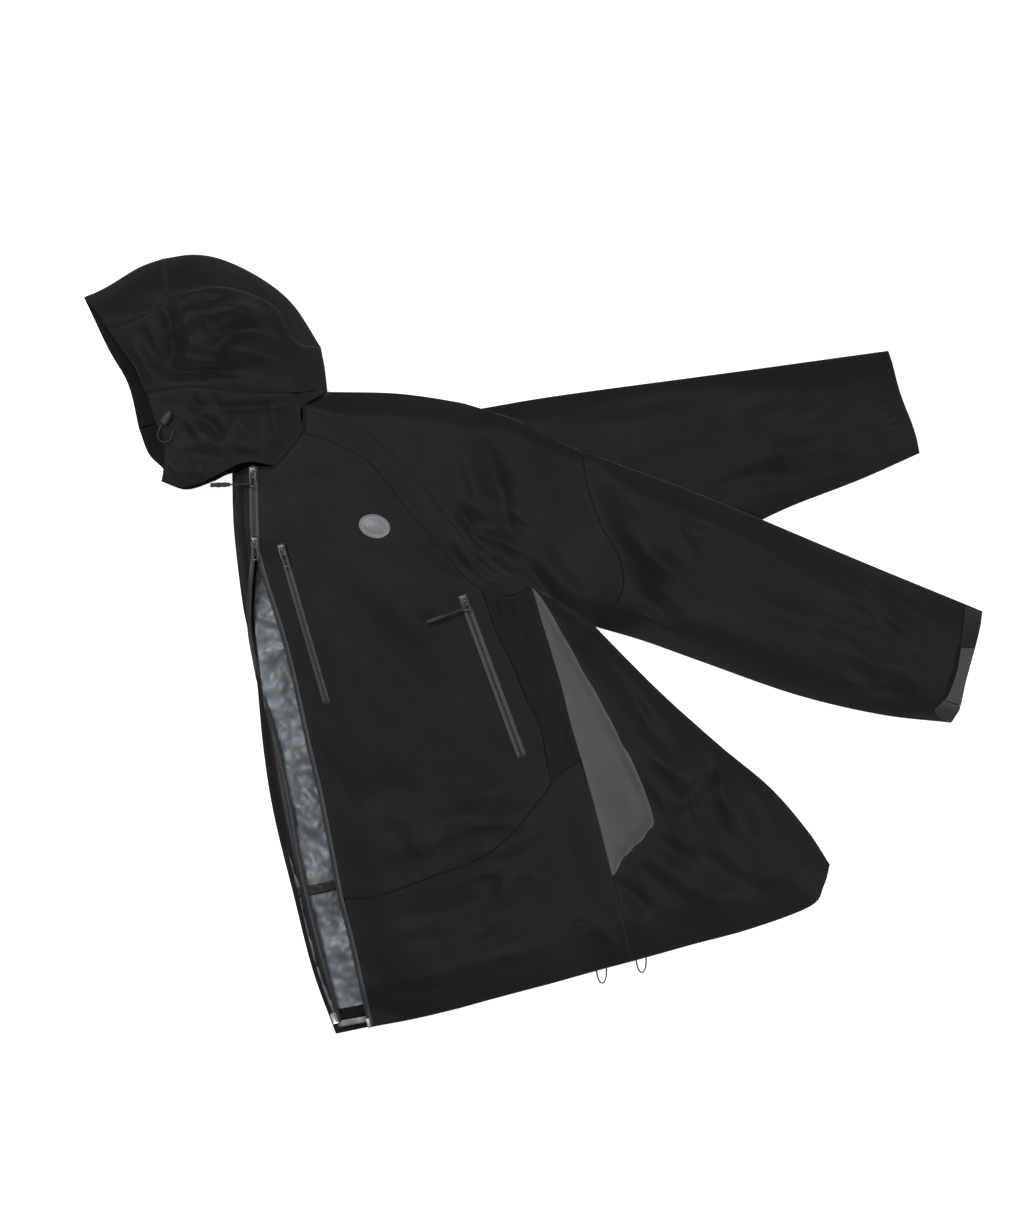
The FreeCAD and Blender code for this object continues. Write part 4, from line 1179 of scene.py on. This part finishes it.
def ribbon(name, run, left, right, level, material, nodes, gauge=0.0008, columns=5):
    """A tape along a run, from left of it to right of it, lying on a level and as thick as its gauge."""
    offsets = np.linspace(left, -right, columns)
    flat = np.vstack([offset_run(run, offset) for offset in offsets])
    count = len(run)
    faces = [[c * count + i, c * count + i + 1, (c + 1) * count + i + 1, (c + 1) * count + i]
             for c in range(columns - 1) for i in range(count - 1)]
    piece = new_piece(name, np.column_stack([flat, level(flat)]), faces, material)
    if sum(face.normal.z for face in piece.data.polygons) < 0:
        piece.data.flip_normals()
    steps = np.concatenate([[0], np.cumsum(np.linalg.norm(np.diff(run, axis=0), axis=1))])
    lay_pattern(piece.data, np.column_stack([np.tile(steps, columns), np.repeat(offsets, count)]))
    wall = piece.modifiers.new("wall", "SOLIDIFY")
    wall.thickness = gauge
    wall.offset = 1
    bake(piece)
    return hand_over(piece, "jacket", nodes)


def flat_at(height):
    return lambda spots: np.full(len(spots), height)


def hem_level(spots):
    return np.where(spots[:, 0] < -0.19, lining_level(spots), 0.006) + 0.0006


BACK_HEM = curve((205, -352), (239, -342), (273, -327), (300, -311), (325, -290), (342, -274), step=0.004)
FACING_HEM = curve((-236, -455), (-215, -451), (-190, -446), (-107, -428), (12, -400), (110, -374),
                   step=0.004)
ribbon("back_hem_inside", BACK_HEM, 0.014, 0.0, flat_at(0.0075), INNER, [], columns=6)
ribbon("lining_seam_tape", curve((-286, -300), (-258, -295), (-231, -288), step=0.003), 0.0062, 0.0062,
       above(lining_level, 0.0002), FACING, ["seam_tape_band"], 0.0004, columns=6)
ribbon("hem_facing", FACING_HEM, 0.014, 0.0, hem_level, INNER, ["hem_facing_back"], 0.0006)
ribbon("hang_loop", curve((-259, 268), (-259, 240), step=0.003), 0.003, 0.003, flat_at(0.0054), TAPE_DARK,
       ["hanger_loop"])

# %% [markdown]
# ## Hood and collar
# The hood lies on its side: a narrow stiffened brim, a crown strip and a side, over the far side
# whose edge shows as a dark crescent. Its middle collapses into a deep hollow. The collar
# below is double cloth and stands a little proud of the chest.

# %% Hood and collar
HOOD_TOP_A = curve((-543, 419), (-517, 431), (-477, 455), (-448, 466))
HOOD_TOP_B = curve((-448, 466), (-410, 471), (-373, 464), (-327, 441), (-290, 410), (-257, 359))
HOOD_TOP_C = curve((-257, 359), (-252, 332), (-249, 305))
HOOD_BASE = curve((-463, 301), (-410, 308), (-352, 302), (-300, 301), (-249, 305))
NEAR_RIM = curve((-509, 377), (-492, 353), (-477, 332), (-463, 301))
NEAR_RIM_LOW = curve((-463, 301), (-453, 268), (-442, 243), (-443, 212), (-446, 195))
FAR_RIM = curve((-543, 419), (-515, 359), (-490, 314), (-477, 261))
FAR_RIM_LOW = curve((-477, 261), (-465, 230), (-446, 210), (-446, 195))
BRIM_SEAM = curve((-448, 466), (-441, 433), (-435, 412))
BRIM_LINE = curve((-509, 377), (-470, 391), (-435, 412))
CROWN_SEAM = curve((-435, 412), (-407, 424), (-362, 427), (-311, 406), (-285, 364), (-257, 359))
COLLAR_BOTTOM = curve((-446, 195), (-419, 189), (-387, 199), (-347, 218), (-309, 214))
NECK_LINE = curve((-249, 305), (-277, 286), (-279, 270), (-277, 255), (-309, 214))
HOOD_OUTER = np.vstack([HOOD_TOP_A, HOOD_TOP_B, HOOD_TOP_C])
BRIM_FRONT = curve((-543, 419), (-524, 399), (-509, 377))

HOOD_FOLDS = [
    (((-448, 411), (-436, 385), (-430, 355), (-436, 332), (-400, 324)), -18, 14),
    (((-425, 362), (-410, 389), (-376, 402), (-344, 400), (-318, 386)), 14, 9),
    (((-368, 343), (-388, 328), (-404, 306)), -7, 7),
    (((-395, 350), (-365, 372), (-332, 376), (-303, 354)), -11, 10),
    (((-420, 350), (-380, 352), (-345, 350), (-300, 338)), 7, 8),
    (((-430, 325), (-400, 330), (-370, 328), (-330, 325)), -9, 9),
    (((-464, 457), (-450, 437), (-441, 417)), -4, 7),
    (((-410, 466), (-415, 450), (-419, 429)), -4, 8),
    (((-395, 440), (-380, 425), (-360, 415)), 4, 9),
    (((-340, 440), (-330, 415), (-320, 395)), -4, 9),
    (((-300, 395), (-285, 370), (-275, 345)), 4, 9),
    (((-480, 360), (-465, 335), (-455, 318)), 5, 8),
    (((-470, 385), (-460, 360), (-452, 340)), -6, 8),
    (((-415, 306), (-360, 300), (-300, 303)), 4, 7),
]
COLLAR_FOLDS = [
    (((-438, 288), (-400, 284), (-340, 284), (-280, 290)), -6, 6),
    (((-430, 275), (-400, 258), (-385, 240)), 4, 8),
    (((-405, 275), (-385, 262), (-370, 245)), -5, 7),
    (((-420, 232), (-395, 226), (-370, 222)), -5, 9),
    (((-435, 213), (-400, 206), (-375, 212)), 4, 7),
    (((-352, 275), (-346, 255), (-338, 228)), 4, 7),
    (((-332, 280), (-326, 258), (-322, 235)), -5, 7),
    (((-305, 282), (-305, 260), (-312, 235)), 4, 7),
    (((-370, 235), (-350, 228), (-330, 224)), -4, 6),
]


def hood_level(spots):
    outer = gap_to(spots, HOOD_OUTER)
    base = gap_to(spots, HOOD_BASE)
    rim = gap_to(spots, NEAR_RIM)
    level = rise(outer, 0.075, 0.010, 0.074)
    level = np.minimum(level, 0.0590 + 0.20 * base)
    level = np.minimum(level, 0.0560 + 0.30 * rim + 0.02 * outer)
    calm = ease(outer, 0.0, 0.03) * ease(base, 0.0, 0.02)
    lift = folds(spots, HOOD_FOLDS) + crumple(spots, 0.040, 0.0030, 51.0, 20, 1.6)
    lift += crumple(spots, 0.018, 0.0010, 57.0, 60)
    lift += creases(spots, 0.024, 0.016, 59.0, 15, 1.8) * around(spots, (-400, 360), 95)
    return np.clip(level + lift * calm, 0.009, 0.083)


def brim_level(spots):
    """The brim is stiff: it keeps a clean curve and lifts towards its front edge."""
    outer = gap_to(spots, HOOD_OUTER)
    seam = gap_to(spots, np.vstack([BRIM_LINE, BRIM_SEAM[::-1]]))
    stiff = rise(outer, 0.055, 0.012, 0.062)
    return stiff + (hood_level(spots) - stiff) * bell(seam, 0.014)


def collar_level(spots):
    base = gap_to(spots, HOOD_BASE)
    neck = gap_to(spots, NECK_LINE)
    bottom = gap_to(spots, COLLAR_BOTTOM)
    outer = gap_to(spots, np.vstack([HOOD_TOP_C[-6:], SHOULDER[-6:]]))
    level = 0.0585 - 0.006 * bell(bottom, 0.014) + 0.0020 * bell(base, 0.010)
    sewn = neck < 0.0001
    level = np.minimum(level, np.where(sewn, front_level(spots), 0.0440 + 0.0145 * ease(neck, 0, 0.035)))
    lift = (folds(spots, COLLAR_FOLDS) + crumple(spots, 0.030, 0.0022, 61.0, 0, 2.0)
            + creases(spots, 0.020, 0.009, 63.0, -70, 1.8)) * ease(neck, 0, 0.02)
    lift *= 0.25 + 0.75 * ease(gap_to(spots, line((-441, 262), (-437, 270))), 0.012, 0.035)
    return np.minimum(level + lift, rise(gap_to(spots, HOOD_OUTER), 0.045, 0.012, 0.066))


def far_level(spots):
    outer = gap_to(spots, HOOD_OUTER)
    rim = gap_to(spots, np.vstack([FAR_RIM, FAR_RIM_LOW]))
    return 0.0026 + 0.0060 * bell(outer, 0.014) + 0.005 * bell(rim, 0.02)


HOOD_GRAIN, HIDDEN_GRAIN = 0.003, 0.007
FAR_FOLD = curve((-477, 261), (-400, 280), (-300, 290), (-249, 305))
FAR_NECK = curve((-249, 305), (-277, 250), (-309, 214), (-364, 207), (-387, 197), (-419, 187), (-446, 195))
for name, outline, level, node in (
        ("hood_brim_cloth", loop(HOOD_TOP_A, BRIM_SEAM, BRIM_LINE[::-1], BRIM_FRONT[::-1]), brim_level,
         "hood_brim"),
        ("hood_crown_cloth", loop(HOOD_TOP_B, CROWN_SEAM[::-1], BRIM_SEAM[::-1]), hood_level, "hood_crown"),
        ("hood_side_cloth", loop(BRIM_LINE, CROWN_SEAM, HOOD_TOP_C, HOOD_BASE[::-1], NEAR_RIM[::-1]),
         hood_level, "hood_side_left"),
        ("collar_cloth", loop(HOOD_BASE, NECK_LINE, COLLAR_BOTTOM[::-1], NEAR_RIM_LOW[::-1]), collar_level,
         "collar_left")):
    sew(name, outline, level, [node], grain=HOOD_GRAIN)
sew("hood_far_cloth", loop(FAR_RIM, FAR_FOLD, HOOD_TOP_C[::-1], HOOD_TOP_B[::-1], HOOD_TOP_A[::-1]),
    far_level, ["hood_side_right"], INNER, grain=HIDDEN_GRAIN)
sew("collar_far_cloth", loop(FAR_FOLD, FAR_NECK, FAR_RIM_LOW[::-1]), above(far_level, 0.0005),
    ["collar_right", "chin_guard"], INNER, grain=HIDDEN_GRAIN)
print("hood and collar sewn")

# %% [markdown]
# ## Sleeves
# The left sleeve is sewn to the shoulder and lies across the right one, so it starts high on the
# body and comes down to the floor at its cuff. Each sleeve is two cloths, an upper and an under
# one that share their edges.

# %% Sleeves
NEAR_TOP = curve((58, 233), (92, 221), (200, 181), (355, 117), (487, 63), (543, 40))
NEAR_CUFF = curve((543, 40), (530, -3), (517, -50), (505, -95))
NEAR_BOTTOM = curve((505, -95), (419, -85), (317, -61), (200, -20), (133, 4), (75, 21))
FAR_TOP = curve((-64, 285), (32, 301), (233, 328), (429, 355))
FAR_CUFF = curve((429, 355), (439, 307), (457, 260), (467, 231))
FAR_BOTTOM = curve((467, 231), (395, 199), (317, 169), (273, 149))
FAR_HIDDEN = curve((273, 149), (200, 118), (120, 112), (50, 145), (-10, 200), (-64, 285))
FAR_CUFF_SEAM = curve((408, 352), (412, 314), (417, 286), (429, 263), (436, 243), (446, 222))
NEAR_AXIS = np.array([math.cos(math.radians(-18.5)), math.sin(math.radians(-18.5))])
FAR_AXIS = np.array([math.cos(math.radians(16)), math.sin(math.radians(16))])

NEAR_FOLDS = [
    (((75, 190), (130, 160), (200, 135), (290, 100)), -6, 18),
    (((90, 150), (130, 112), (180, 72)), 8, 13),
    (((92, 95), (130, 62), (180, 25)), -9, 12),
    (((90, 60), (130, 35), (170, 10)), 6, 9),
    (((180, 160), (250, 128), (330, 85)), 6, 15),
    (((240, 62), (310, 35), (380, 20)), -7, 16),
    (((290, 120), (350, 90), (400, 50)), -5, 12),
    (((330, 10), (390, -15), (440, -28)), 6, 14),
    (((380, 80), (430, 45), (470, 0)), 6, 14),
    (((420, 60), (458, 20), (475, -30)), -6, 11),
    (((390, -60), (430, -52), (470, -60)), -4, 10),
    (((440, 70), (470, 45), (490, 5)), 4, 9),
    (((350, -55), (400, -45), (450, -20)), 4, 10),
]
FAR_FOLDS = [
    (((60, 270), (150, 290), (240, 300)), -5, 13),
    (((100, 230), (180, 250), (270, 260)), 5, 14),
    (((220, 178), (268, 200), (330, 205)), -7, 12),
    (((250, 215), (300, 232), (350, 235)), 5, 11),
    (((260, 310), (330, 300), (390, 300)), 4, 12),
    (((330, 250), (370, 270), (400, 300)), -4, 11),
    (((200, 179), (233, 193), (267, 206)), -3, 6),
    (((340, 185), (380, 205), (420, 220)), 4, 9),
]


def near_level(spots):
    travel = (spots - line((80, 122))) @ NEAR_AXIS
    share = np.clip(travel / 0.465, 0, 1)
    top = gap_to(spots, NEAR_TOP)
    bottom = gap_to(spots, NEAR_BOTTOM)
    cuff = gap_to(spots, NEAR_CUFF)
    rim_top = 0.030 - 0.024 * ease(share, 0.35, 0.80)
    rim_bottom = 0.010 - 0.004 * ease(share, 0.0, 0.3)
    crown = 0.066 - 0.026 * ease(share, 0.25, 0.95)
    held = bell(cuff, 0.045)
    crown = crown * (1 - held) + 0.0372 * held
    fall = rise(bottom, 0.060 - 0.036 * held, 1, 0)
    level = np.minimum(rise(top, 0.055, 1, 0) * rim_top + (1 - rise(top, 0.055, 1, 0)) * crown,
                       fall * rim_bottom + (1 - fall) * crown)
    calm = ease(np.minimum(top, bottom), 0.0, 0.03) * (0.15 + 0.85 * ease(cuff, 0.03, 0.07))
    lift = folds(spots, NEAR_FOLDS) + crumple(spots, 0.050, 0.0044, 71.0, -25, 2.4)
    lift += crumple(spots, 0.020, 0.0010, 73.0, -60)
    lift += creases(spots, 0.034, 0.012, 77.0, -35, 2.4) * around(spots, (130, 90), 120)
    lift += creases(spots, 0.030, 0.010, 79.0, -30, 2.4) * around(spots, (430, 0), 120)
    level = level + lift * calm
    gap, share_arm = nearest(spots, ARM_SEAM)
    shares = np.linspace(0, 1, len(ARM_SEAM))
    where = np.column_stack([np.interp(share_arm, shares, ARM_SEAM[:, axis]) for axis in (0, 1)])
    joined = ease(gap, 0.0, 0.055)
    return np.clip(body_level(where) * (1 - joined) + level * joined, 0.004, 0.083)


def near_under(spots):
    travel = np.clip(((spots - line((80, 122))) @ NEAR_AXIS) / 0.465, 0, 1)
    top = gap_to(spots, NEAR_TOP)
    bottom = gap_to(spots, NEAR_BOTTOM)
    high = 0.031 - 0.027 * ease(travel, 0.40, 0.85)
    side = top / (top + bottom + 1e-6)
    low = ease(side, 0.55, 1.0)
    return np.maximum(np.minimum(near_level(spots) - 0.006, high * (1 - low) + 0.004 * low), 0.0018)


def far_sleeve_level(spots):
    travel = np.clip(((spots - line((50, 179))) @ FAR_AXIS) / 0.414, 0, 1)
    top = gap_to(spots, FAR_TOP)
    bottom = gap_to(spots, np.vstack([FAR_BOTTOM, FAR_HIDDEN]))
    crown = 0.026 + 0.009 * ease(travel, 0.45, 0.85) - 0.006 * ease(travel, 0.9, 1.0)
    level = np.minimum(rise(top, 0.045, 0.007, 0.04), rise(bottom, 0.050, 0.006, 0.04)) * crown / 0.04
    calm = ease(np.minimum(top, bottom), 0.0, 0.025)
    lift = folds(spots, FAR_FOLDS) + crumple(spots, 0.045, 0.0030, 81.0, 12, 2.4)
    lift += crumple(spots, 0.018, 0.0008, 83.0, 50)
    lift += creases(spots, 0.030, 0.008, 87.0, 20, 2.4) * around(spots, (330, 230), 110)
    band, place = nearest(spots, FAR_CUFF_SEAM)
    pucker = 0.0016 * np.sin(place * 2 * math.pi * 15) * bell(band, 0.013) * ease(place, 0.35, 0.6)
    return np.clip(level + (lift + pucker) * calm, 0.005, 0.037)


def far_under(spots):
    return np.maximum(np.minimum(far_sleeve_level(spots) - 0.004, 0.0025), 0.0016)


def sew_sleeve(name, outline, upper, under, nodes):
    """Two cloths that share their edges: the upper one shows, the under one lies on the floor side."""
    flat, faces = cut_fine(outline, GRAIN)
    rim = bell(gap_to(flat, ring(outline)), 0.004)
    top = upper(flat)
    below = top - GAUGE * 1.05
    for suffix, levels in (("", top), ("_under", np.minimum(under(flat) * (1 - rim) + below * rim, below))):
        piece, draped = make_cloth(name + suffix, flat, faces, levels, outline, SHELL, GAUGE)
        if not suffix:
            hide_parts(*nodes)
        declare_cut(outline, draped)
        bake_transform(piece)


def along_sleeve(pivot, axis, low, high):
    spots = [np.array(pivot) / 1000 + axis * reach / 1000 for reach in (low, high)]
    return [(float(spot[0]), float(spot[1]), 0.03) for spot in spots]


NEAR_BEND = along_sleeve((80, 122), NEAR_AXIS, 43, 150)
FAR_BEND = along_sleeve((50, 179), FAR_AXIS, -60, 60)
sew_sleeve("left_sleeve_cloth", loop(NEAR_TOP, NEAR_CUFF, NEAR_BOTTOM, ARM_SEAM[::-1]),
           near_level, near_under,
           ["near_sleeve_upper", "near_sleeve_forearm", "near_cuff"])
sew_sleeve("right_sleeve_cloth", loop(FAR_TOP, FAR_CUFF, FAR_BOTTOM, FAR_HIDDEN),
           far_sleeve_level, far_under,
           ["far_sleeve_upper", "far_sleeve_forearm", "far_cuff"])
print("sleeves sewn")

# %% [markdown]
# ## Zips
# Each zip is two tapes and a row of teeth. A tooth is a tiny moulded bar with a dozen faces, set
# along the tape at its real pitch.

# %% Zip tapes and teeth
LEFT_TAPE_RUN = np.vstack([ZIP_CLOSED, OPEN_RIGHT_UPPER[1:], OPEN_RIGHT_LOWER[1:]])
RIGHT_TAPE_RUN = np.vstack([ZIP_CLOSED, OPEN_LEFT_UPPER[1:], OPEN_LEFT_LOWER[1:-4]])
left_front, right_front = above(overlay_level, 0.0002), above(right_level, 0.0002)
ribbon("zip_tape_left", offset_run(LEFT_TAPE_RUN, 0.0002), 0.0056, 0.0, left_front, TAPE,
       ["main_zip_tape_left"])
ribbon("zip_tape_right", offset_run(RIGHT_TAPE_RUN, -0.0002), 0.0, 0.0050, right_front, TAPE,
       ["main_zip_tape_right"])
for label, run, half in (("chest", CHEST_LINE, 0.0042), ("hand", HAND_LINE, 0.0056)):
    ribbon(label + "_zip_tape_a", offset_run(run, -0.0003), 0.0, half, left_front, TAPE,
           [label + "_zip_tape"])
    ribbon(label + "_zip_tape_b", offset_run(run, 0.0003), half, 0.0, left_front, TAPE, [])


def bar_faces(start):
    """The ten faces of a bar whose twelve corners lie in three rings of four."""
    sides = [[start + row + index, start + row + (index + 1) % 4, start + row + 4 + (index + 1) % 4,
              start + row + 4 + index] for row in (0, 4) for index in range(4)]
    return sides + [[start + 8, start + 9, start + 10, start + 11], [start + 3, start + 2, start + 1, start]]


def tooth_row(name, run, reach, pitch, lift, level, nodes, shift=0.0):
    """Small moulded bars set across a run, as one mesh."""
    fine = offset_run(smooth(run, pitch), shift)
    heading = np.gradient(fine, axis=0)
    heading /= np.linalg.norm(heading, axis=1)[:, None]
    corners, faces = [], []
    for spot, ahead, height in zip(fine, heading, level(fine) + lift):
        side = np.array([-ahead[1], ahead[0]])
        faces += bar_faces(len(corners))
        for up, length, width in ((0.0, 1.0, 1.0), (0.0009, 0.92, 1.0), (0.0012, 0.6, 0.9)):
            for across, along in ((-1, -1), (1, -1), (1, 1), (-1, 1)):
                flat = spot + side * across * reach * width + ahead * along * pitch * 0.36 * length
                corners.append((*flat, height + up))
    hand_over(new_piece(name, corners, faces, TEETH), "jacket", nodes)
    return len(fine)


count = tooth_row("teeth_left", LEFT_TAPE_RUN[:-2], 0.0016, 0.0019, 0.0008, left_front,
                  ["main_zip_teeth_left"], 0.0008)
count += tooth_row("teeth_right", RIGHT_TAPE_RUN[:-2], 0.0014, 0.0019, 0.0008, right_front,
                   ["main_zip_teeth_right"], -0.0010)
count += tooth_row("teeth_chest", CHEST_LINE, 0.0009, 0.0016, 0.0007, left_front, ["chest_zip_teeth"])
count += tooth_row("teeth_hand", HAND_LINE, 0.0010, 0.0016, 0.0007, left_front, ["hand_zip_teeth"])
print(count, "teeth")


# %% Cuff tab and loop strip
def polygon(*corners, step):
    """A closed outline with straight sides through listed corners in millimetres."""
    return loop(*[curve(start, end, step=step) for start, end in zip(corners, corners[1:] + corners[:1])])


def patch(name, outline, level, thick, material, body, nodes, grain=0.0028):
    flat, faces = cut_fine(outline, grain, (0.0012,))
    piece, _ = make_cloth(name, flat, faces, level(flat) + thick, outline, material, thick)
    rim = piece.modifiers.new("rim", "BEVEL")
    rim.width = thick * 0.3
    rim.segments = 2
    rim.limit_method = "ANGLE"
    rim.angle_limit = math.radians(60)
    bake(piece)
    return hand_over(piece, body, nodes)


STRIP = polygon((521, 46), (542, 39), (530, -3), (513, -3), step=0.003)
patch("cuff_loop_pile", STRIP, above(near_level, 0.0005), 0.0016, LOOP_PILE,
      "left_sleeve", ["cuff_loop_strip"])
TAB_FOLD = line((495.3, -67.6))[0]
TAB_ACROSS = np.array([0.317, 0.948])
STRAP = loop(curve((513, -4), (529, -4), step=0.003),
             curve((529, -4), (520, -40), (512.9, -73.5), step=0.003),
             curve((512.9, -73.5), (492.4, -66.6), step=0.003),
             curve((492.4, -66.6), (498, -60), (508, -32), (513, -4), step=0.003))
ROOT = loop(curve((492.4, -67.2), (512.8, -74.1), step=0.003),
            curve((512.8, -74.1), (511.5, -79), (505, -93), step=0.003),
            curve((505, -93), (494, -92), (484, -84), (482, -79), step=0.003),
            curve((482, -79), (492.4, -67.2), step=0.003))


def strap_level(spots):
    """The strap lies flat over the cuff and its sewn root slopes down to the corner."""
    past = np.clip(-(spots - TAB_FOLD) @ TAB_ACROSS, 0, 1)
    return np.maximum(near_level(spots) + 0.0026, 0.0398 - 0.9 * past)


patch("cuff_grip_tab", STRAP, strap_level, 0.0020, TAB_RUBBER, "cuff_strap", ["cuff_tab"])
patch("cuff_tab_root", ROOT, above(strap_level, -0.0023), 0.0014, TAB_RUBBER,
      "left_sleeve", [])
CHEST_BAG = polygon((-290, 100), (-170, 95), (-135, -65), (-238, -75), step=0.006)
HAND_BAG = polygon((-110, 30), (-60, 30), (-5, -140), (-25, -195), (-185, -190), step=0.006)
for label, outline, sunk in (("chest", CHEST_BAG, -0.0045), ("hand", HAND_BAG, -0.0055)):
    sew(label + "_pocket_cloth", outline, above(front_level, sunk), [label + "_pocket_bag"], INNER,
        grain=0.008, press=0, gauge=0.0006)

# %% [markdown]
# ## Stitching
# Topstitching runs beside the seams. A stitch is a short rounded dash with a few faces; rows
# of them lie on the cloth at the real pitch of about three millimetres.

# %% Stitches
def stitch_row(name, runs, surface, body="jacket", pitch=0.0034, thick=0.00034, bend=None):
    corners, faces = [], []
    for run in runs:
        fine = smooth(run, pitch)
        for start, end in zip(fine, fine[1:]):
            middle, half = (start + end) / 2, (end - start) * 0.37
            levels = [at_level(surface, *(middle + half * side), fallback=None) for side in (-1, 0, 1)]
            if None in levels:
                continue
            side = np.array([-half[1], half[0]]) / np.linalg.norm(half) * thick
            base = len(corners)
            for along, width, lift in ((-1, 0.4, 0.0), (0, 1.0, 0.0003), (1, 0.4, 0.0)):
                height = levels[along + 1]
                flat = middle + half * along
                corners.append((*(flat + side * width), height + lift - 0.0001))
                corners.append((*flat, height + lift + thick * width))
                corners.append((*(flat - side * width), height + lift - 0.0001))
                corners.append((*flat, height - 0.0004))
            faces += bar_faces(base)
    piece = new_piece(name, corners, faces, THREAD)
    shape = bmesh.new()
    shape.from_mesh(piece.data)
    bmesh.ops.recalc_face_normals(shape, faces=shape.faces)
    shape.to_mesh(piece.data)
    shape.free()
    if bend:
        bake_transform(piece)
    else:
        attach(piece, body)
    return len(faces) // 10


BODY_CLOTHS = ["front_left", "side_left", "lower_front_left", "back_side", "yoke_band", "shoulder_left",
               "front_right"]
rows = stitch_row("stitching_body", [
    offset_run(YOKE_LOW, -0.0035), offset_run(YOKE_UP, 0.0035), offset_run(SIDE_SEAM, -0.0035),
    offset_run(OVERLAY_FRONT, 0.0130), offset_run(LOW_SEAM, -0.0035), offset_run(VENT_RIGHT, 0.0040),
    offset_run(HEM_FRONT, 0.028)[2:-2], offset_run(HEM_BACK, 0.020)[3:-8],
    offset_run(OPENING_ALL[:-6], 0.0085)[3:], offset_run(CHEST_LINE, 0.0065), offset_run(CHEST_LINE, -0.0065),
    offset_run(HAND_LINE, 0.0070), offset_run(HAND_LINE, -0.0070), offset_run(ARM_SEAM, 0.0040)[2:-2]],
    BODY_CLOTHS)
rows += stitch_row("stitching_hood", [
    offset_run(CROWN_SEAM, -0.0035), offset_run(BRIM_LINE, -0.0032), offset_run(BRIM_LINE, -0.0075),
    offset_run(BRIM_SEAM, 0.0035), offset_run(NEAR_RIM, 0.006)[1:-1],
    curve((-371, 332), (-352, 349), (-329, 355), (-309, 353), (-279, 357)),
    offset_run(BRIM_SEAM, -0.0120)], ["hood_brim_cloth", "hood_crown_cloth", "hood_side_cloth"])
rows += stitch_row("stitching_collar", [
    curve((-422, 293), (-392, 284), (-369, 277), (-339, 272), (-316, 266)),
    offset_run(COLLAR_BOTTOM, 0.006)[1:-1],
    offset_run(NECK_LINE, -0.004)[4:-2], curve((-308, 262), (-308, 248), step=0.003)], ["collar_cloth"])
rows += stitch_row("stitching_left_sleeve",
                   [offset_run(NEAR_CUFF, -0.0240)[1:-1], offset_run(ARM_SEAM, -0.0040)[2:-2]],
                   ["left_sleeve_cloth"], "left_sleeve", bend=NEAR_BEND)
rows += stitch_row("stitching_right_sleeve", [FAR_CUFF_SEAM[1:-1], curve((200, 179), (233, 193), (267, 206))],
                   ["right_sleeve_cloth"], "right_sleeve", bend=FAR_BEND)
print(rows, "stitches")
